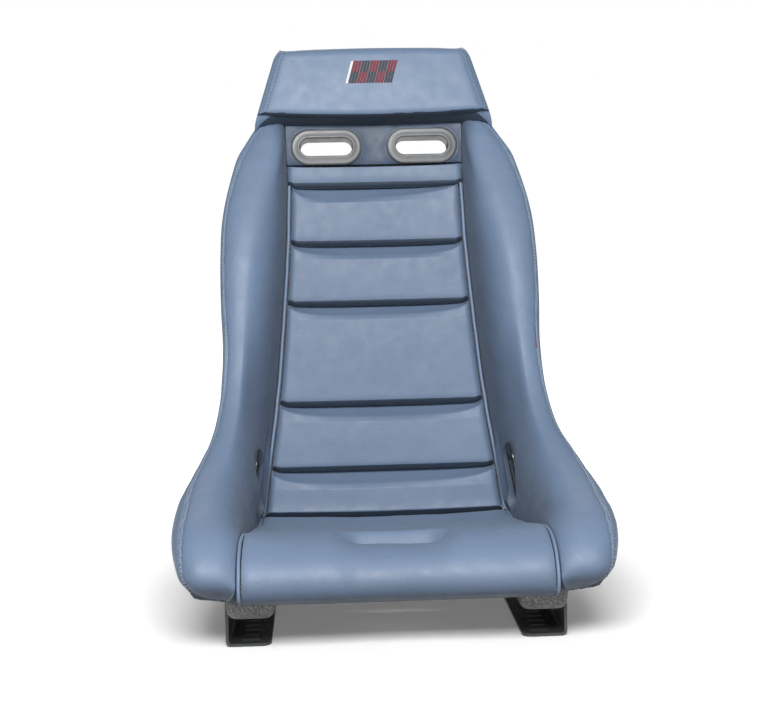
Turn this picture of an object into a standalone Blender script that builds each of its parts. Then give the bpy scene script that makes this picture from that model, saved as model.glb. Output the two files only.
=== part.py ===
"""A fixed-back racing bucket seat on side-mount L brackets, built from its own pieces.

Metres, +Z up. The seat faces -Y and its left and right halves mirror across X = 0.
The origin is on the floor under the middle of the seat's box.
"""

import math

import bmesh
import bpy
import numpy as np
from mathutils import Matrix, Vector
from mathutils.bvhtree import BVHTree

# --- Driving dimensions --------------------------------------------------------------

SEAT_WIDTH = 0.580          # across the hip bolsters
SEAT_HEIGHT = 0.830         # floor to the top of the headrest
SEAT_DEPTH = 0.600          # front roll to the back of the shell

SHELL_WALL = 0.0045         # glass-fibre laminate
RIM_REVEAL = 0.004          # bare rim that shows outside the bolster covers

PIPING_RADIUS = 0.003
PIPING_GAP = 0.0008         # piping to the pieces on both sides of it
PIPING_SINK = 0.0015        # piping's axis below the edges beside it

SEAMS = (0.102, 0.172, 0.272, 0.4275, 0.5215, 0.613)   # the back's seams, from the floor
PANEL_THICKNESS_LOW = 0.030
PANEL_THICKNESS_HIGH = 0.020
PANEL_SLOPE = 0.025         # soft slope below each panel's upper seam
PANEL_ROLL = 0.008          # tight roll above each panel's lower seam
PANEL_EDGE_DROP = 0.007     # a panel's sides below its middle
PANEL_SIDE_ROLL = 0.012
EDGE_CROWDING = 0.75        # columns stand closer together towards a pad's sides
PANEL_BASE = 0.0028         # padding's underside above the shell
SEAM_GAP = 0.0010           # between neighbouring panels

SLOT_PANEL_THICKNESS = 0.017
SLOT_PANEL_MARGIN = (0.0010, 0.0025)    # yoke below and above the bezels' flanges

HEAD_GAP = 0.010            # yoke to the back edge of the headrest's underside
HEAD_UNDERSIDE = 0.011      # rise of the slanted underside
HEAD_FACE_WIDTH_LOW = 0.366
HEAD_FACE_WIDTH_HIGH = 0.304
HEAD_FACE_Y_LOW = 0.207
HEAD_FACE_Y_HIGH = 0.230
HEAD_EDGE_ROUND = 0.012
HEAD_BASE_V = 2.8           # how far its back reaches round the shell

CUSHION_THICKNESS_FRONT = 0.044
CUSHION_THICKNESS_REAR = 0.029
CUSHION_EDGE_DROP = 0.006
CUSHION_BASE = 0.0050       # cushion's underside above the pan, strips between them

BOLSTER_BASE = 0.0030
BOLSTER_EDGE = 0.006        # bolster's height over the rim
BOLSTER_FULLNESS = 0.85
BOLSTER_FRONT_U = 0.05
BOLSTER_TOP_U = 11.85

STRIP_WIDTH = 0.025         # hook-and-loop strips
STRIP_HALF_THICKNESS = 0.0012
STRIP_SPACING = 0.220
STRIP_GAP = 0.0009
STRIP_FRONT_U = 2.9
STRIP_REAR_U = 4.9

HARNESS_SLOT = (0.083, 0.028)
HARNESS_SPACING = 0.152     # between the two slots' centres
HARNESS_HEIGHT = 0.673
BEZEL_FLANGE = 0.0145       # flange width around a slot
BEZEL_FLANGE_THICKNESS = 0.005
BEZEL_SLEEVE = 0.0025       # sleeve wall
BEZEL_FIT = 0.0006          # sleeve to its hole
BEZEL_BACK_GAP = 0.0020     # rear bezel to the shell's curved outer face
BEZEL_REAR_THICKNESS = 0.0035

LAP_SLOT_CENTRE = (0.2005, 0.088, 0.160)
LAP_SLOT_DIP = 10.0         # degrees its inner face looks down
LAP_SLOT_LEAN = 8.0         # degrees its top leans to the rear

CROTCH_TOP = (0.150, 0.056)
CROTCH_BOTTOM = (0.118, 0.036)
CROTCH_Y = -0.158
CROTCH_FLANGE = 0.009
CROTCH_FLANGE_GAP = 0.0016  # flange to the pan's underside
CROTCH_FLANGE_WALL = 0.003
CROTCH_LIP = 0.004          # sleeve's end below the flange's top
SLEEVE_PROUD = 0.0005       # sleeve's other end over the pan
REACH = 0.030               # cutters run this far past what they cut

RAIL_OUTER = 0.2225         # rail's outer face from the middle of the seat
RAIL_WIDTH_TOP = 0.0705
RAIL_WIDTH_BOTTOM = 0.0595
RAIL_DEPTH = 0.0205         # rail's foot below the pan's lowest point
RAIL_FLARE = 0.006
RAIL_FLARE_RISE = 0.003     # the flare starts this far over the pan's lowest point
RAIL_CHAMFER = 0.004
RAIL_AHEAD = 0.031          # rail past the bracket's front end
RAIL_BEHIND = 0.032         # rail past the rear bolt
RAIL_WALL = 0.006
RAIL_FLOOR = 0.003
RAIL_BOND_GAP = 0.0022

BRACKET_WALL = 0.004
BRACKET_FLANGE = 0.060
BRACKET_FRONT = -0.212
BRACKET_LENGTH = 0.330
BRACKET_ABOVE_BOLT = 0.012
BRACKET_GAP = 0.0005        # bracket wall to the rail
BRACKET_BEND = 0.007
BRACKET_CORNER = 0.012
BRACKET_SLOT = (0.027, 0.010)
BRACKET_SLOT_PITCH = 0.0225
BRACKET_SLOT_FIRST = 0.0170
BRACKET_SLOTS_PER_END = 5

BOLT_RADIUS = 0.004
BOLT_LENGTH = 0.024
BOLT_HEAD_RADIUS = 0.0065
BOLT_HEAD_HEIGHT = 0.008
BOLT_SOCKET = 0.003
BOLT_BELOW_PAN = 0.0105
BOLT_INSETS = (0.052, 0.058)    # front and rear bolts from the bracket's ends
WASHER_RADIUS = 0.0085
WASHER_THICKNESS = 0.0016
INSERT_RADIUS = 0.0062
INSERT_LENGTH = 0.008
FIT = 0.0003                # faces that touch

BADGE_SIZE = (0.080, 0.034)
BADGE_HEIGHT = 0.797
BADGE_THICKNESS = 0.0012
BADGE_LEAN = 0.12           # sideways lean over its height
TAG_U = (6.75, 7.25)        # where the tag sits along the bolster
TAG_THICKNESS = 0.0014
TAG_LIFT = 0.0006

SPLIT_GAP = 0.0003          # between the shell's sectors
PAN_SECTOR_TOP = 0.300      # where the pan's sector ends on the hips
SHELL_COLUMNS = 11
PANEL_COLUMNS = 10
CUSHION_COLUMNS = 12
RIM_ARC_STEPS = 4
WALL_ARC_STEPS = 6
PIPING_STEPS = 26
STRIP_STEPS = 10

# --- The bucket's form ---------------------------------------------------------------
# Sections of the bucket from the front apron, over the lip, along the pan, up the back
# to the top of the headrest, in millimetres of the master form. Each section gives
# the shell's centre line (y, z), the half-width of the piping line, the shell's
# rim (x, y, z) and the bolster's crest (x, y, z).
MASTER_SIZE = (580.0, 600.0, 830.0)
SECTIONS_MM = (
    (-262, 68, 203, 258, -250, 71, 236, -281, 72),
    (-251, 96, 203, 276, -262, 106, 246, -300, 117),
    (-212, 108, 201, 287, -228, 141, 252, -258, 163),
    (-125, 92, 199, 289, -148, 161, 251, -165, 191),
    (-20, 78, 196, 278, -62, 189, 240, -73, 224),
    (80, 69, 191, 259, 8, 236, 227, -2, 270),
    (146, 88, 188, 245, 57, 297, 218, 43, 325),
    (168, 165, 178, 240, 88, 364, 214, 66, 382),
    (192, 285, 161, 241, 108, 430, 212, 81, 440),
    (213, 405, 149, 241, 128, 497, 208, 100, 505),
    (232, 520, 140, 237, 156, 566, 199, 131, 572),
    (249, 630, 136, 221, 192, 638, 184, 172, 640),
    (262, 715, 136, 191, 226, 712, 166, 214, 700),
    (268, 772, 124, 172, 244, 774, 150, 240, 772),
    (270, 828, 112, 152, 250, 828, 136, 246, 828),
)
BELLY = 0.20                # outward bow of the side wall, as a share of its own width
DISH = 0.006                # the piping line stands this far forward of the centre line
LAST_SECTION = len(SECTIONS_MM) - 1
SEAM_V = 1.0                # cross-seat positions: 0 centre, 1 piping line, 3 rim
RIM_V = 3.0
HEEL_U = 5.62               # where the cushion meets the back
CUSHION_PIPING_US = (0.04, 5.56)

SCALE = np.array([SEAT_WIDTH, SEAT_DEPTH, SEAT_HEIGHT]) / np.array(MASTER_SIZE)
STRETCH = SCALE * 1000.0    # how far the seat's sizes depart from the master form's
COLUMN_SCALE = np.array([SCALE[1], SCALE[2], SCALE[0], *SCALE, *SCALE])
SECTIONS = np.array(SECTIONS_MM, dtype=float) * COLUMN_SCALE

# --- Places that follow the form -----------------------------------------------------

HARNESS_Z = HARNESS_HEIGHT * STRETCH[2]
FLANGE_REACH = HARNESS_SLOT[1] / 2 + BEZEL_FLANGE
SLOT_PANEL_BOTTOM = HARNESS_Z - FLANGE_REACH - SLOT_PANEL_MARGIN[0]
SLOT_PANEL_TOP = HARNESS_Z + FLANGE_REACH + SLOT_PANEL_MARGIN[1]
PANEL_HEIGHTS = [z * STRETCH[2] for z in SEAMS] + [SLOT_PANEL_BOTTOM]
HEAD_BOTTOM = SLOT_PANEL_TOP + HEAD_GAP
HEAD_FACE_BOTTOM = HEAD_BOTTOM + HEAD_UNDERSIDE
HEAD_TOP = SECTIONS[-1][1]

PAN_SECTIONS = slice(3, 7)
PAN_UNDERSIDE = SECTIONS[PAN_SECTIONS, 1].min() - SHELL_WALL
BOLT_HEIGHT = PAN_UNDERSIDE - BOLT_BELOW_PAN
RAIL_BOTTOM = PAN_UNDERSIDE - RAIL_DEPTH
RAIL_X = RAIL_OUTER * STRETCH[0]
BRACKET_HEIGHT = BOLT_HEIGHT + BRACKET_ABOVE_BOLT
BRACKET_Y = BRACKET_FRONT * STRETCH[1]
BOLT_YS = (BRACKET_Y + BOLT_INSETS[0], BRACKET_Y + BRACKET_LENGTH - BOLT_INSETS[1])
RAIL_FRONT = BRACKET_Y - RAIL_AHEAD
RAIL_REAR = BOLT_YS[1] + RAIL_BEHIND


def spline(rows, t):
    """A smooth curve through rows, one row at each whole t."""
    last = len(rows) - 1
    i = min(max(int(t), 0), last - 1)
    f = t - i
    b, c = rows[i], rows[i + 1]
    a = rows[i - 1] if i > 0 else 2 * b - c
    d = rows[i + 2] if i + 2 <= last else 2 * c - b
    slope = (c - a) * f
    bend = (2 * a - 5 * b + 4 * c - d) * f ** 2
    twist = (3 * b - a - 3 * c + d) * f ** 3
    return 0.5 * (2 * b + slope + bend + twist)


def unit(vector):
    return vector / np.linalg.norm(vector)


def centre_point(u):
    y, z = spline(SECTIONS, u)[:2]
    return np.array([0.0, y, z])


def centre_normal(u):
    """Points from the shell's centre line towards the sitter."""
    ahead = centre_point(min(u + 0.05, LAST_SECTION))
    behind = centre_point(max(u - 0.05, 0.0))
    run = unit(ahead - behind)
    return np.array([0.0, -run[2], run[1]])


def cross_section(u):
    """Piping line, wall middle and rim of the shell's inner surface."""
    row = spline(SECTIONS, u)
    inward = centre_normal(u)
    seam = centre_point(u) + np.array([row[2], 0.0, 0.0]) + DISH * inward
    rim = row[3:6]
    across = rim - seam
    outward = np.array([1.0, 0.0, 0.0]) - inward
    outward = unit(outward - unit(across) * np.dot(outward, unit(across)))
    wall = 0.5 * (seam + rim) + outward * BELLY * np.linalg.norm(across)
    leave = np.linalg.norm(wall - seam) * unit(np.array([1.0, 0.0, 0.0]) + 0.25 * inward)
    return wall - 2 * leave, seam, wall, rim


def surface(u, v):
    """The shell's inner surface at section u and cross-seat position v."""
    if v <= SEAM_V:
        half_width = spline(SECTIONS, u)[2]
        across = np.array([v * half_width, 0.0, 0.0])
        return centre_point(u) + across + DISH * v * v * centre_normal(u)
    return spline(np.array(cross_section(u)), v)


def surface_normal(u, v):
    """Points inwards; the insert between the piping lines shares one normal."""
    if v <= SEAM_V:
        return centre_normal(u)
    low, high = max(u - 0.03, 0.0), min(u + 0.03, LAST_SECTION)
    left, right = max(v - 0.03, SEAM_V), min(v + 0.03, RIM_V)
    along = surface(high, v) - surface(low, v)
    across = surface(u, right) - surface(u, left)
    return unit(np.cross(across, along))


def above(u, v, height):
    """A point at a height over the shell's inner surface; v < 0 is the left half."""
    point = surface(u, abs(v)) + height * surface_normal(u, abs(v))
    return point if v >= 0.0 else point * np.array([-1.0, 1.0, 1.0])


def u_at_height(z, height):
    """The section whose centre, at this height over the shell, lies at z."""
    low, high = HEEL_U, float(LAST_SECTION)
    for _ in range(40):
        middle = 0.5 * (low + high)
        if above(middle, 0.0, height)[2] < z:
            low = middle
        else:
            high = middle
    return 0.5 * (low + high)


def insert_edge(u):
    """The v of the insert's edge, beside the piping."""
    return 1.0 - (PIPING_RADIUS + PIPING_GAP) / spline(SECTIONS, u)[2]


def bolster_edge(u):
    """The v of the bolster's inner foot, beside the piping."""
    step = 0.05
    width = np.linalg.norm(surface(u, SEAM_V + step) - surface(u, SEAM_V))
    return SEAM_V + step * (PIPING_RADIUS + PIPING_GAP) / width


# --- Mesh helpers --------------------------------------------------------------------


def new_collection(name):
    collection = bpy.data.collections.new(name)
    bpy.context.scene.collection.children.link(collection)
    return collection


def material(name, colour, roughness, metallic=0.0):
    made = bpy.data.materials.new(name)
    made.use_nodes = True
    shader = made.node_tree.nodes["Principled BSDF"]
    shader.inputs["Base Color"].default_value = (*colour, 1.0)
    shader.inputs["Roughness"].default_value = roughness
    shader.inputs["Metallic"].default_value = metallic
    made.diffuse_color = (*colour, 1.0)
    return made


def add_object(name, mesh, collection, finish=None):
    made = bpy.data.objects.new(name, mesh)
    collection.objects.link(made)
    if finish is not None:
        mesh.materials.append(finish)
    return made


def finished_mesh(name, bm, smooth_angle=40.0):
    """Face the surface outwards, shade it smooth and make it a mesh."""
    bmesh.ops.recalc_face_normals(bm, faces=bm.faces)
    mesh = bpy.data.meshes.new(name)
    bm.to_mesh(mesh)
    bm.free()
    mesh.shade_smooth()
    mesh.set_sharp_from_angle(angle=math.radians(smooth_angle))
    return mesh


def loft(name, rings, closed=False, smooth_angle=40.0):
    """A skin through rings of points; open lofts get a domed fan at each end."""
    bm = bmesh.new()
    rows = [[bm.verts.new(Vector(point)) for point in ring] for ring in rings]
    count = len(rows[0])
    pairs = list(zip(rows, rows[1:]))
    if closed:
        pairs.append((rows[-1], rows[0]))
    for first, second in pairs:
        for i in range(count):
            j = (i + 1) % count
            bm.faces.new((first[i], first[j], second[j], second[i]))
    if not closed:
        for row in (rows[0], rows[-1]):
            middle = sum((v.co for v in row), Vector()) / count
            hub = bm.verts.new(middle)
            for i in range(count):
                bm.faces.new((row[i], row[(i + 1) % count], hub))
    return finished_mesh(name, bm, smooth_angle)


def slab(name, base, top):
    """A closed body between two grids of points with the same rows and columns."""
    bm = bmesh.new()
    low = [[bm.verts.new(Vector(p)) for p in row] for row in base]
    high = [[bm.verts.new(Vector(p)) for p in row] for row in top]
    rows, columns = len(base), len(base[0])
    for grid in (low, high):
        for i in range(rows - 1):
            for j in range(columns - 1):
                corners = (grid[i][j], grid[i][j + 1], grid[i + 1][j + 1], grid[i + 1][j])
                bm.faces.new(corners)
    for i in range(rows - 1):
        for j in (0, columns - 1):
            bm.faces.new((low[i][j], low[i + 1][j], high[i + 1][j], high[i][j]))
    for j in range(columns - 1):
        for i in (0, rows - 1):
            bm.faces.new((low[i][j], low[i][j + 1], high[i][j + 1], high[i][j]))
    return finished_mesh(name, bm)


def evaluated_mesh(source):
    """The mesh of an object after its modifiers, with loose caps welded."""
    graph = bpy.context.evaluated_depsgraph_get()
    mesh = bpy.data.meshes.new_from_object(source.evaluated_get(graph))
    bm = bmesh.new()
    bm.from_mesh(mesh)
    bmesh.ops.remove_doubles(bm, verts=bm.verts, dist=0.00002)
    bm.to_mesh(mesh)
    bm.free()
    return mesh


def cutter(name, mesh):
    made = add_object(name, mesh, CUTTERS)
    made.hide_render = True
    made.display_type = "WIRE"
    return made


def cut(target, tool, operation="DIFFERENCE"):
    """Take the cutter's volume out of the target, or keep only what lies in it."""
    step = target.modifiers.new("cut", "BOOLEAN")
    step.operation = operation
    step.object = tool
    step.solver = "EXACT"


def mirrored_copy(source, name):
    """The left-hand twin of a right-hand piece, faces still pointing out."""
    mesh = source.data.copy()
    mesh.transform(Matrix.Scale(-1.0, 4, (1.0, 0.0, 0.0)))
    mesh.flip_normals()
    twin = bpy.data.objects.new(name, mesh)
    PARTS.objects.link(twin)
    return twin


def mirrored_cutter(source, name):
    twin = mirrored_copy(source, name)
    PARTS.objects.unlink(twin)
    CUTTERS.objects.link(twin)
    twin.hide_render = True
    twin.display_type = "WIRE"
    return twin


def stadium(length, height, arc_steps=5, side_steps=1):
    """Outline of a slot with round ends, centred, long side along the first axis."""
    radius = height / 2
    reach = length / 2 - radius
    points = []
    for centre, start in ((reach, -90.0), (-reach, 90.0)):
        for i in range(arc_steps + 1):
            angle = math.radians(start + 180.0 * i / arc_steps)
            points.append((centre + radius * math.cos(angle), radius * math.sin(angle)))
        last = points[-1][1]
        for i in range(1, side_steps):
            points.append((centre - 2 * centre * i / side_steps, last))
    return points


def placed(outline, origin, side, rise, out, depth):
    """Outline points moved into a frame, at a depth along its outward axis."""
    return [origin + a * side + b * rise + depth * out for a, b in outline]


def slot_ring(name, slot, profile, frame):
    """A ring round a slot; the profile is (offset from the slot, depth) pairs."""
    rings = []
    for offset, depth in profile:
        outline = stadium(slot[0] + 2 * offset, slot[1] + 2 * offset)
        rings.append(placed(outline, *frame, depth))
    return loft(name, rings, closed=True, smooth_angle=35.0)


def slot_prism(name, slot, growth, frame, back, front):
    """A cutter as wide as the slot plus a growth all round."""
    outline = stadium(slot[0] + 2 * growth, slot[1] + 2 * growth)
    rings = [placed(outline, *frame, back), placed(outline, *frame, front)]
    return cutter(name, loft(name, rings))


def outside_ring(name, slot, frame, tree):
    """A rear bezel whose flange follows the shell's outer face round a slot."""
    origin, side, rise, out = frame
    inner = BEZEL_SLEEVE + BEZEL_FIT
    profile = [(inner, 0.0), (inner, BEZEL_REAR_THICKNESS)]
    profile += [(BEZEL_FLANGE * 0.85, BEZEL_REAR_THICKNESS), (BEZEL_FLANGE, 0.001)]
    profile.append((BEZEL_FLANGE, 0.0))
    rings = []
    for offset, depth in profile:
        outline = stadium(slot[0] + 2 * offset, slot[1] + 2 * offset, side_steps=4)
        ring = []
        for a, b in outline:
            start = Vector(origin + a * side + b * rise - SEAT_DEPTH / 3 * out)
            face = tree.ray_cast(start, Vector(out))[0]
            ring.append(np.array(face) - (depth + BEZEL_BACK_GAP) * out)
        rings.append(ring)
    return loft(name, rings, closed=True, smooth_angle=35.0)


def soft_edge(distance, radius):
    """0 at an edge, 1 once a rounded edge of this radius has been passed."""
    share = min(max(distance / radius, 0.0), 1.0)
    return math.sqrt(1.0 - (1.0 - share) ** 2)


# --- Shell and pan -------------------------------------------------------------------


def make_shell():
    bm = bmesh.new()
    us = grid_between(0.0, LAST_SECTION)
    vs = [RIM_V * j / SHELL_COLUMNS for j in range(SHELL_COLUMNS + 1)]
    rows = [[bm.verts.new(Vector(surface(u, v))) for v in vs] for u in us]
    for low, high in zip(rows, rows[1:]):
        for j in range(SHELL_COLUMNS):
            bm.faces.new((low[j], low[j + 1], high[j + 1], high[j]))
    mesh = bpy.data.meshes.new("shell")
    bm.to_mesh(mesh)
    bm.free()
    shell = add_object("shell", mesh, PARTS, SPECKLED)
    mirror = shell.modifiers.new("mirror", "MIRROR")
    mirror.merge_threshold = 0.0001
    wall = shell.modifiers.new("wall", "SOLIDIFY")
    wall.thickness = SHELL_WALL
    wall.offset = -1.0
    mesh.shade_smooth()
    return shell


def sector(name, outline, growth):
    """A cutter over the right half: an outline of (y, z) corners, grown all round."""
    middle = np.mean(outline, axis=0)
    grown = [np.array(p) + np.sign(np.array(p) - middle) * growth for p in outline]
    inside = SPLIT_GAP / 2 - growth
    rings = [[(x, y, z) for y, z in grown] for x in (inside, SEAT_WIDTH)]
    return cutter(name, loft(name, rings))


def split_shell(shell):
    """Part the one moulding into sectors along planes through its belt slots."""
    mesh = evaluated_mesh(shell)
    PARTS.objects.unlink(shell)
    CUTTERS.objects.link(shell)
    shell.hide_render = True
    slot_y, slot_z = LAP_SLOT_CENTRE[1] * STRETCH[1], LAP_SLOT_CENTRE[2] * STRETCH[2]
    lean = math.tan(math.radians(LAP_SLOT_LEAN))
    pan_top = PAN_SECTOR_TOP * STRETCH[2]
    low_y, high_y = slot_y - lean * slot_z, slot_y + lean * (pan_top - slot_z)
    pan = [(-SEAT_DEPTH, 0.0), (low_y, 0.0), (high_y, pan_top), (-SEAT_DEPTH, pan_top)]
    lower = [(-SEAT_DEPTH, 0.0), (SEAT_DEPTH, 0.0), (SEAT_DEPTH, HARNESS_Z - SPLIT_GAP),
             (-SEAT_DEPTH, HARNESS_Z - SPLIT_GAP)]
    head = [(-SEAT_DEPTH, HARNESS_Z), (SEAT_DEPTH, HARNESS_Z), (SEAT_DEPTH, SEAT_HEIGHT * 2),
            (-SEAT_DEPTH, SEAT_HEIGHT * 2)]
    made = []
    for name, outline in (("shell_pan", pan), ("shell_back", lower), ("shell_head", head)):
        piece = add_object(f"{name}_right", mesh.copy(), PARTS)
        cut(piece, sector(f"{name}_sector", outline, 0.0), "INTERSECT")
        if name == "shell_back":
            cut(piece, sector("pan_clearance", pan, SPLIT_GAP))
        made.append(piece)
    return made


def grid_between(low, high):
    """Shared sections, closer together round the lip and the heel."""
    us = [0.0]
    while us[-1] < LAST_SECTION - 0.01:
        tight = us[-1] < 1.0 or HEEL_U - 1.2 < us[-1] < HEEL_U + 1.6
        us.append(us[-1] + (0.25 if tight else 0.5))
    us[-1] = float(LAST_SECTION)
    return [u for u in us if low <= u <= high]


def surface_tree(target):
    graph = bpy.context.evaluated_depsgraph_get()
    return BVHTree.FromObject(target, graph)


def make_rail(shell_tree):
    """Right-hand foot rail: an open-topped channel bonded under the pan."""
    outer_wall, hollow = [], []
    steps = 16
    for i in range(steps + 1):
        y = RAIL_FRONT + (RAIL_REAR - RAIL_FRONT) * i / steps
        outer_wall.append(rail_ring(shell_tree, y, 0.0, RAIL_BOTTOM, RAIL_CHAMFER))
    for i in range(steps + 1):
        front, rear = RAIL_FRONT + RAIL_WALL, RAIL_REAR - RAIL_WALL
        y = front + (rear - front) * i / steps
        floor = RAIL_BOTTOM + RAIL_FLOOR
        hollow.append(rail_ring(shell_tree, y, RAIL_WALL, floor, 0.0, SEAT_HEIGHT * 0.02))
    rail = add_object("mount_rail_right", loft("rail", outer_wall), PARTS, SPECKLED)
    cut(rail, cutter("rail_hollow", loft("rail_hollow", hollow)))
    return rail


def rail_ring(shell_tree, y, inset, bottom, chamfer, lift=0.0):
    """One cross-section of the rail, its top edge just under the shell."""
    inner_low = RAIL_X - RAIL_WIDTH_BOTTOM + inset
    inner_high = RAIL_X - RAIL_WIDTH_TOP + inset
    outer = RAIL_X - inset
    shoulder = outer - RAIL_FLARE
    tops = [outer + RAIL_FLARE, shoulder]
    tops += [shoulder + (inner_high - shoulder) * k / 4 for k in range(1, 5)]
    heights = []
    for x in tops:
        hit = shell_tree.ray_cast(Vector((x, y, 0.0)), Vector((0.0, 0.0, 1.0)))[0]
        heights.append((hit.z if hit is not None else PAN_UNDERSIDE) - RAIL_BOND_GAP)
    neck = min(PAN_UNDERSIDE + RAIL_FLARE_RISE, heights[0] - RAIL_WALL / 3)
    corner = chamfer + RAIL_WALL / 6
    points = [(inner_low, bottom), (outer - corner, bottom)]
    points += [(outer, bottom + corner), (outer, neck)]
    points += [(x, z + lift) for x, z in zip(tops, heights)]
    return [(x, y, z) for x, z in points]


def crotch_frame():
    """Origin on the pan's upper face and axes of the crotch-strap slot."""
    u = u_on_pan(CROTCH_Y * STRETCH[1])
    out = surface_normal(u, 0.0)
    side = np.array([1.0, 0.0, 0.0])
    return surface(u, 0.0), side, np.cross(out, side), out


def u_on_pan(y):
    low, high = 1.0, HEEL_U
    for _ in range(40):
        middle = 0.5 * (low + high)
        if centre_point(middle)[1] < y:
            low = middle
        else:
            high = middle
    return 0.5 * (low + high)


def make_crotch_bezel(shell):
    frame = crotch_frame()
    top = SLEEVE_PROUD
    below = -SHELL_WALL - CROTCH_FLANGE_GAP
    flange = below - CROTCH_FLANGE_WALL
    profile = [(-BEZEL_SLEEVE, top), (-BEZEL_SLEEVE, below - CROTCH_LIP)]
    profile += [(CROTCH_FLANGE, flange), (CROTCH_FLANGE, below), (0.0, below), (0.0, top)]
    mesh = slot_ring("crotch_bezel", CROTCH_BOTTOM, profile, frame)
    add_object("crotch_bezel", mesh, PARTS, TRIM)
    cut(shell, slot_prism("crotch_hole", CROTCH_BOTTOM, BEZEL_FIT, frame, -REACH, REACH))


# --- Upholstery ----------------------------------------------------------------------


def bolster_ring(u, end_share):
    """One closed section of the right bolster; end_share rounds its two ends."""
    near = bolster_edge(u)
    rim_width = np.linalg.norm(surface(u, RIM_V) - surface(u, RIM_V - 0.1)) / 0.1
    far = RIM_V - RIM_REVEAL / rim_width
    base_vs = [near + (far - near) * i / 8 for i in range(9)]
    base = [above(u, v, BOLSTER_BASE) for v in base_vs]
    beside = np.array([PIPING_RADIUS + PIPING_GAP, 0.0, 0.0])
    base[0] = above(u, SEAM_V, BOLSTER_BASE) + beside
    seam_side = above(u, SEAM_V, insert_height(u)) + beside
    rim_side = above(u, far, BOLSTER_EDGE)
    crest = spline(SECTIONS, u)[6:9]
    wall_arc = quarter_arc(seam_side, crest, WALL_ARC_STEPS)
    rim_arc = quarter_arc(rim_side, crest, RIM_ARC_STEPS)
    outline = rim_arc + [crest] + wall_arc[::-1]
    middle = base[4]
    outline = [middle + (p - middle) * end_share for p in outline]
    base = [middle + (p - middle) * (0.6 + 0.4 * end_share) for p in base]
    return base + outline


def quarter_arc(start, crest, steps):
    """Points of a full quarter ellipse that meets the crest running across the seat."""
    lean = np.array([crest[0] - start[0], 0.0, 0.0])
    climb = crest - start - lean
    arc = []
    for i in range(steps):
        angle = 0.5 * math.pi * i / steps
        across = 1.0 - math.cos(angle) ** BOLSTER_FULLNESS
        forward = math.sin(angle) ** BOLSTER_FULLNESS
        arc.append(start + lean * across + climb * forward)
    return arc


def insert_height(u):
    """Height of the insert's edge over the shell, along the cushion and the back."""
    if u < HEEL_U:
        share = u / HEEL_U
        full = CUSHION_THICKNESS_FRONT * (1 - share) + CUSHION_THICKNESS_REAR * share
        return full - CUSHION_EDGE_DROP
    return panel_thickness(u) - PANEL_EDGE_DROP


def panel_thickness(u):
    share = (u - HEEL_U) / (LAST_SECTION - HEEL_U)
    return PANEL_THICKNESS_LOW * (1 - share) + PANEL_THICKNESS_HIGH * share


def make_bolster():
    rings = []
    near_ends = [BOLSTER_FRONT_U + step for step in (0.0, 0.06, 0.15)]
    near_ends += [BOLSTER_TOP_U - step for step in (0.15, 0.06, 0.0)]
    for u in sorted(near_ends + grid_between(BOLSTER_FRONT_U + 0.17, BOLSTER_TOP_U - 0.2)):
        low = soft_edge(u - BOLSTER_FRONT_U + 0.04, 0.5)
        high = soft_edge(BOLSTER_TOP_U - u + 0.04, 0.6)
        rings.append(bolster_ring(u, min(low, high)))
    return add_object("side_bolster_right", loft("bolster", rings), PARTS, LEATHER)


def make_back_panel(index):
    """One sewn panel of the back, rolled tight at its foot and sloped at its head."""
    low_z, high_z = PANEL_HEIGHTS[index], PANEL_HEIGHTS[index + 1]
    u_low = u_at_height(low_z + SEAM_GAP / 2, PANEL_THICKNESS_LOW * 0.5)
    u_high = u_at_height(high_z - SEAM_GAP / 2, PANEL_THICKNESS_LOW * 0.5)
    height = high_z - low_z
    foot = [0.0, PANEL_ROLL * 0.5, PANEL_ROLL * 1.25]
    head = [height - PANEL_SLOPE, height - PANEL_SLOPE * 0.4, height]
    if height < 2 * PANEL_SLOPE:
        head = [height * 0.6, height]
    marks = foot + head
    per_u = height / (u_high - u_low)
    first, last = foot[-1] + SEAM_GAP * 2, PANEL_SLOPE + SEAM_GAP * 4
    inner = grid_between(u_low + first / per_u, u_high - last / per_u)
    marks = sorted(marks + [(u - u_low) * per_u for u in inner])
    base, top = [], []
    for mark in marks:
        u = u_low + mark / per_u
        edge = insert_edge(u)
        full = panel_thickness(u)
        roll = soft_edge(mark + SEAM_GAP, PANEL_ROLL)
        slope = soft_edge(height - mark + PANEL_ROLL / 2, PANEL_SLOPE)
        base_row, top_row = [], []
        for j in range(PANEL_COLUMNS + 1):
            across = -1.0 + 2.0 * j / PANEL_COLUMNS
            across = math.copysign(abs(across) ** EDGE_CROWDING, across)
            gap = (1.0 - abs(across)) * edge * spline(SECTIONS, u)[2]
            side = soft_edge(gap + 0.002, PANEL_SIDE_ROLL)
            rise = full * (0.45 + 0.55 * min(roll, slope)) - PANEL_EDGE_DROP * (1 - side)
            base_row.append(above(u, across * edge, PANEL_BASE))
            top_row.append(above(u, across * edge, rise))
        base.append(base_row)
        top.append(top_row)
    name = f"back_panel_{len(PANEL_HEIGHTS) - 1 - index}"
    return add_object(name, slab(name, base, top), PARTS, LEATHER)


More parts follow.
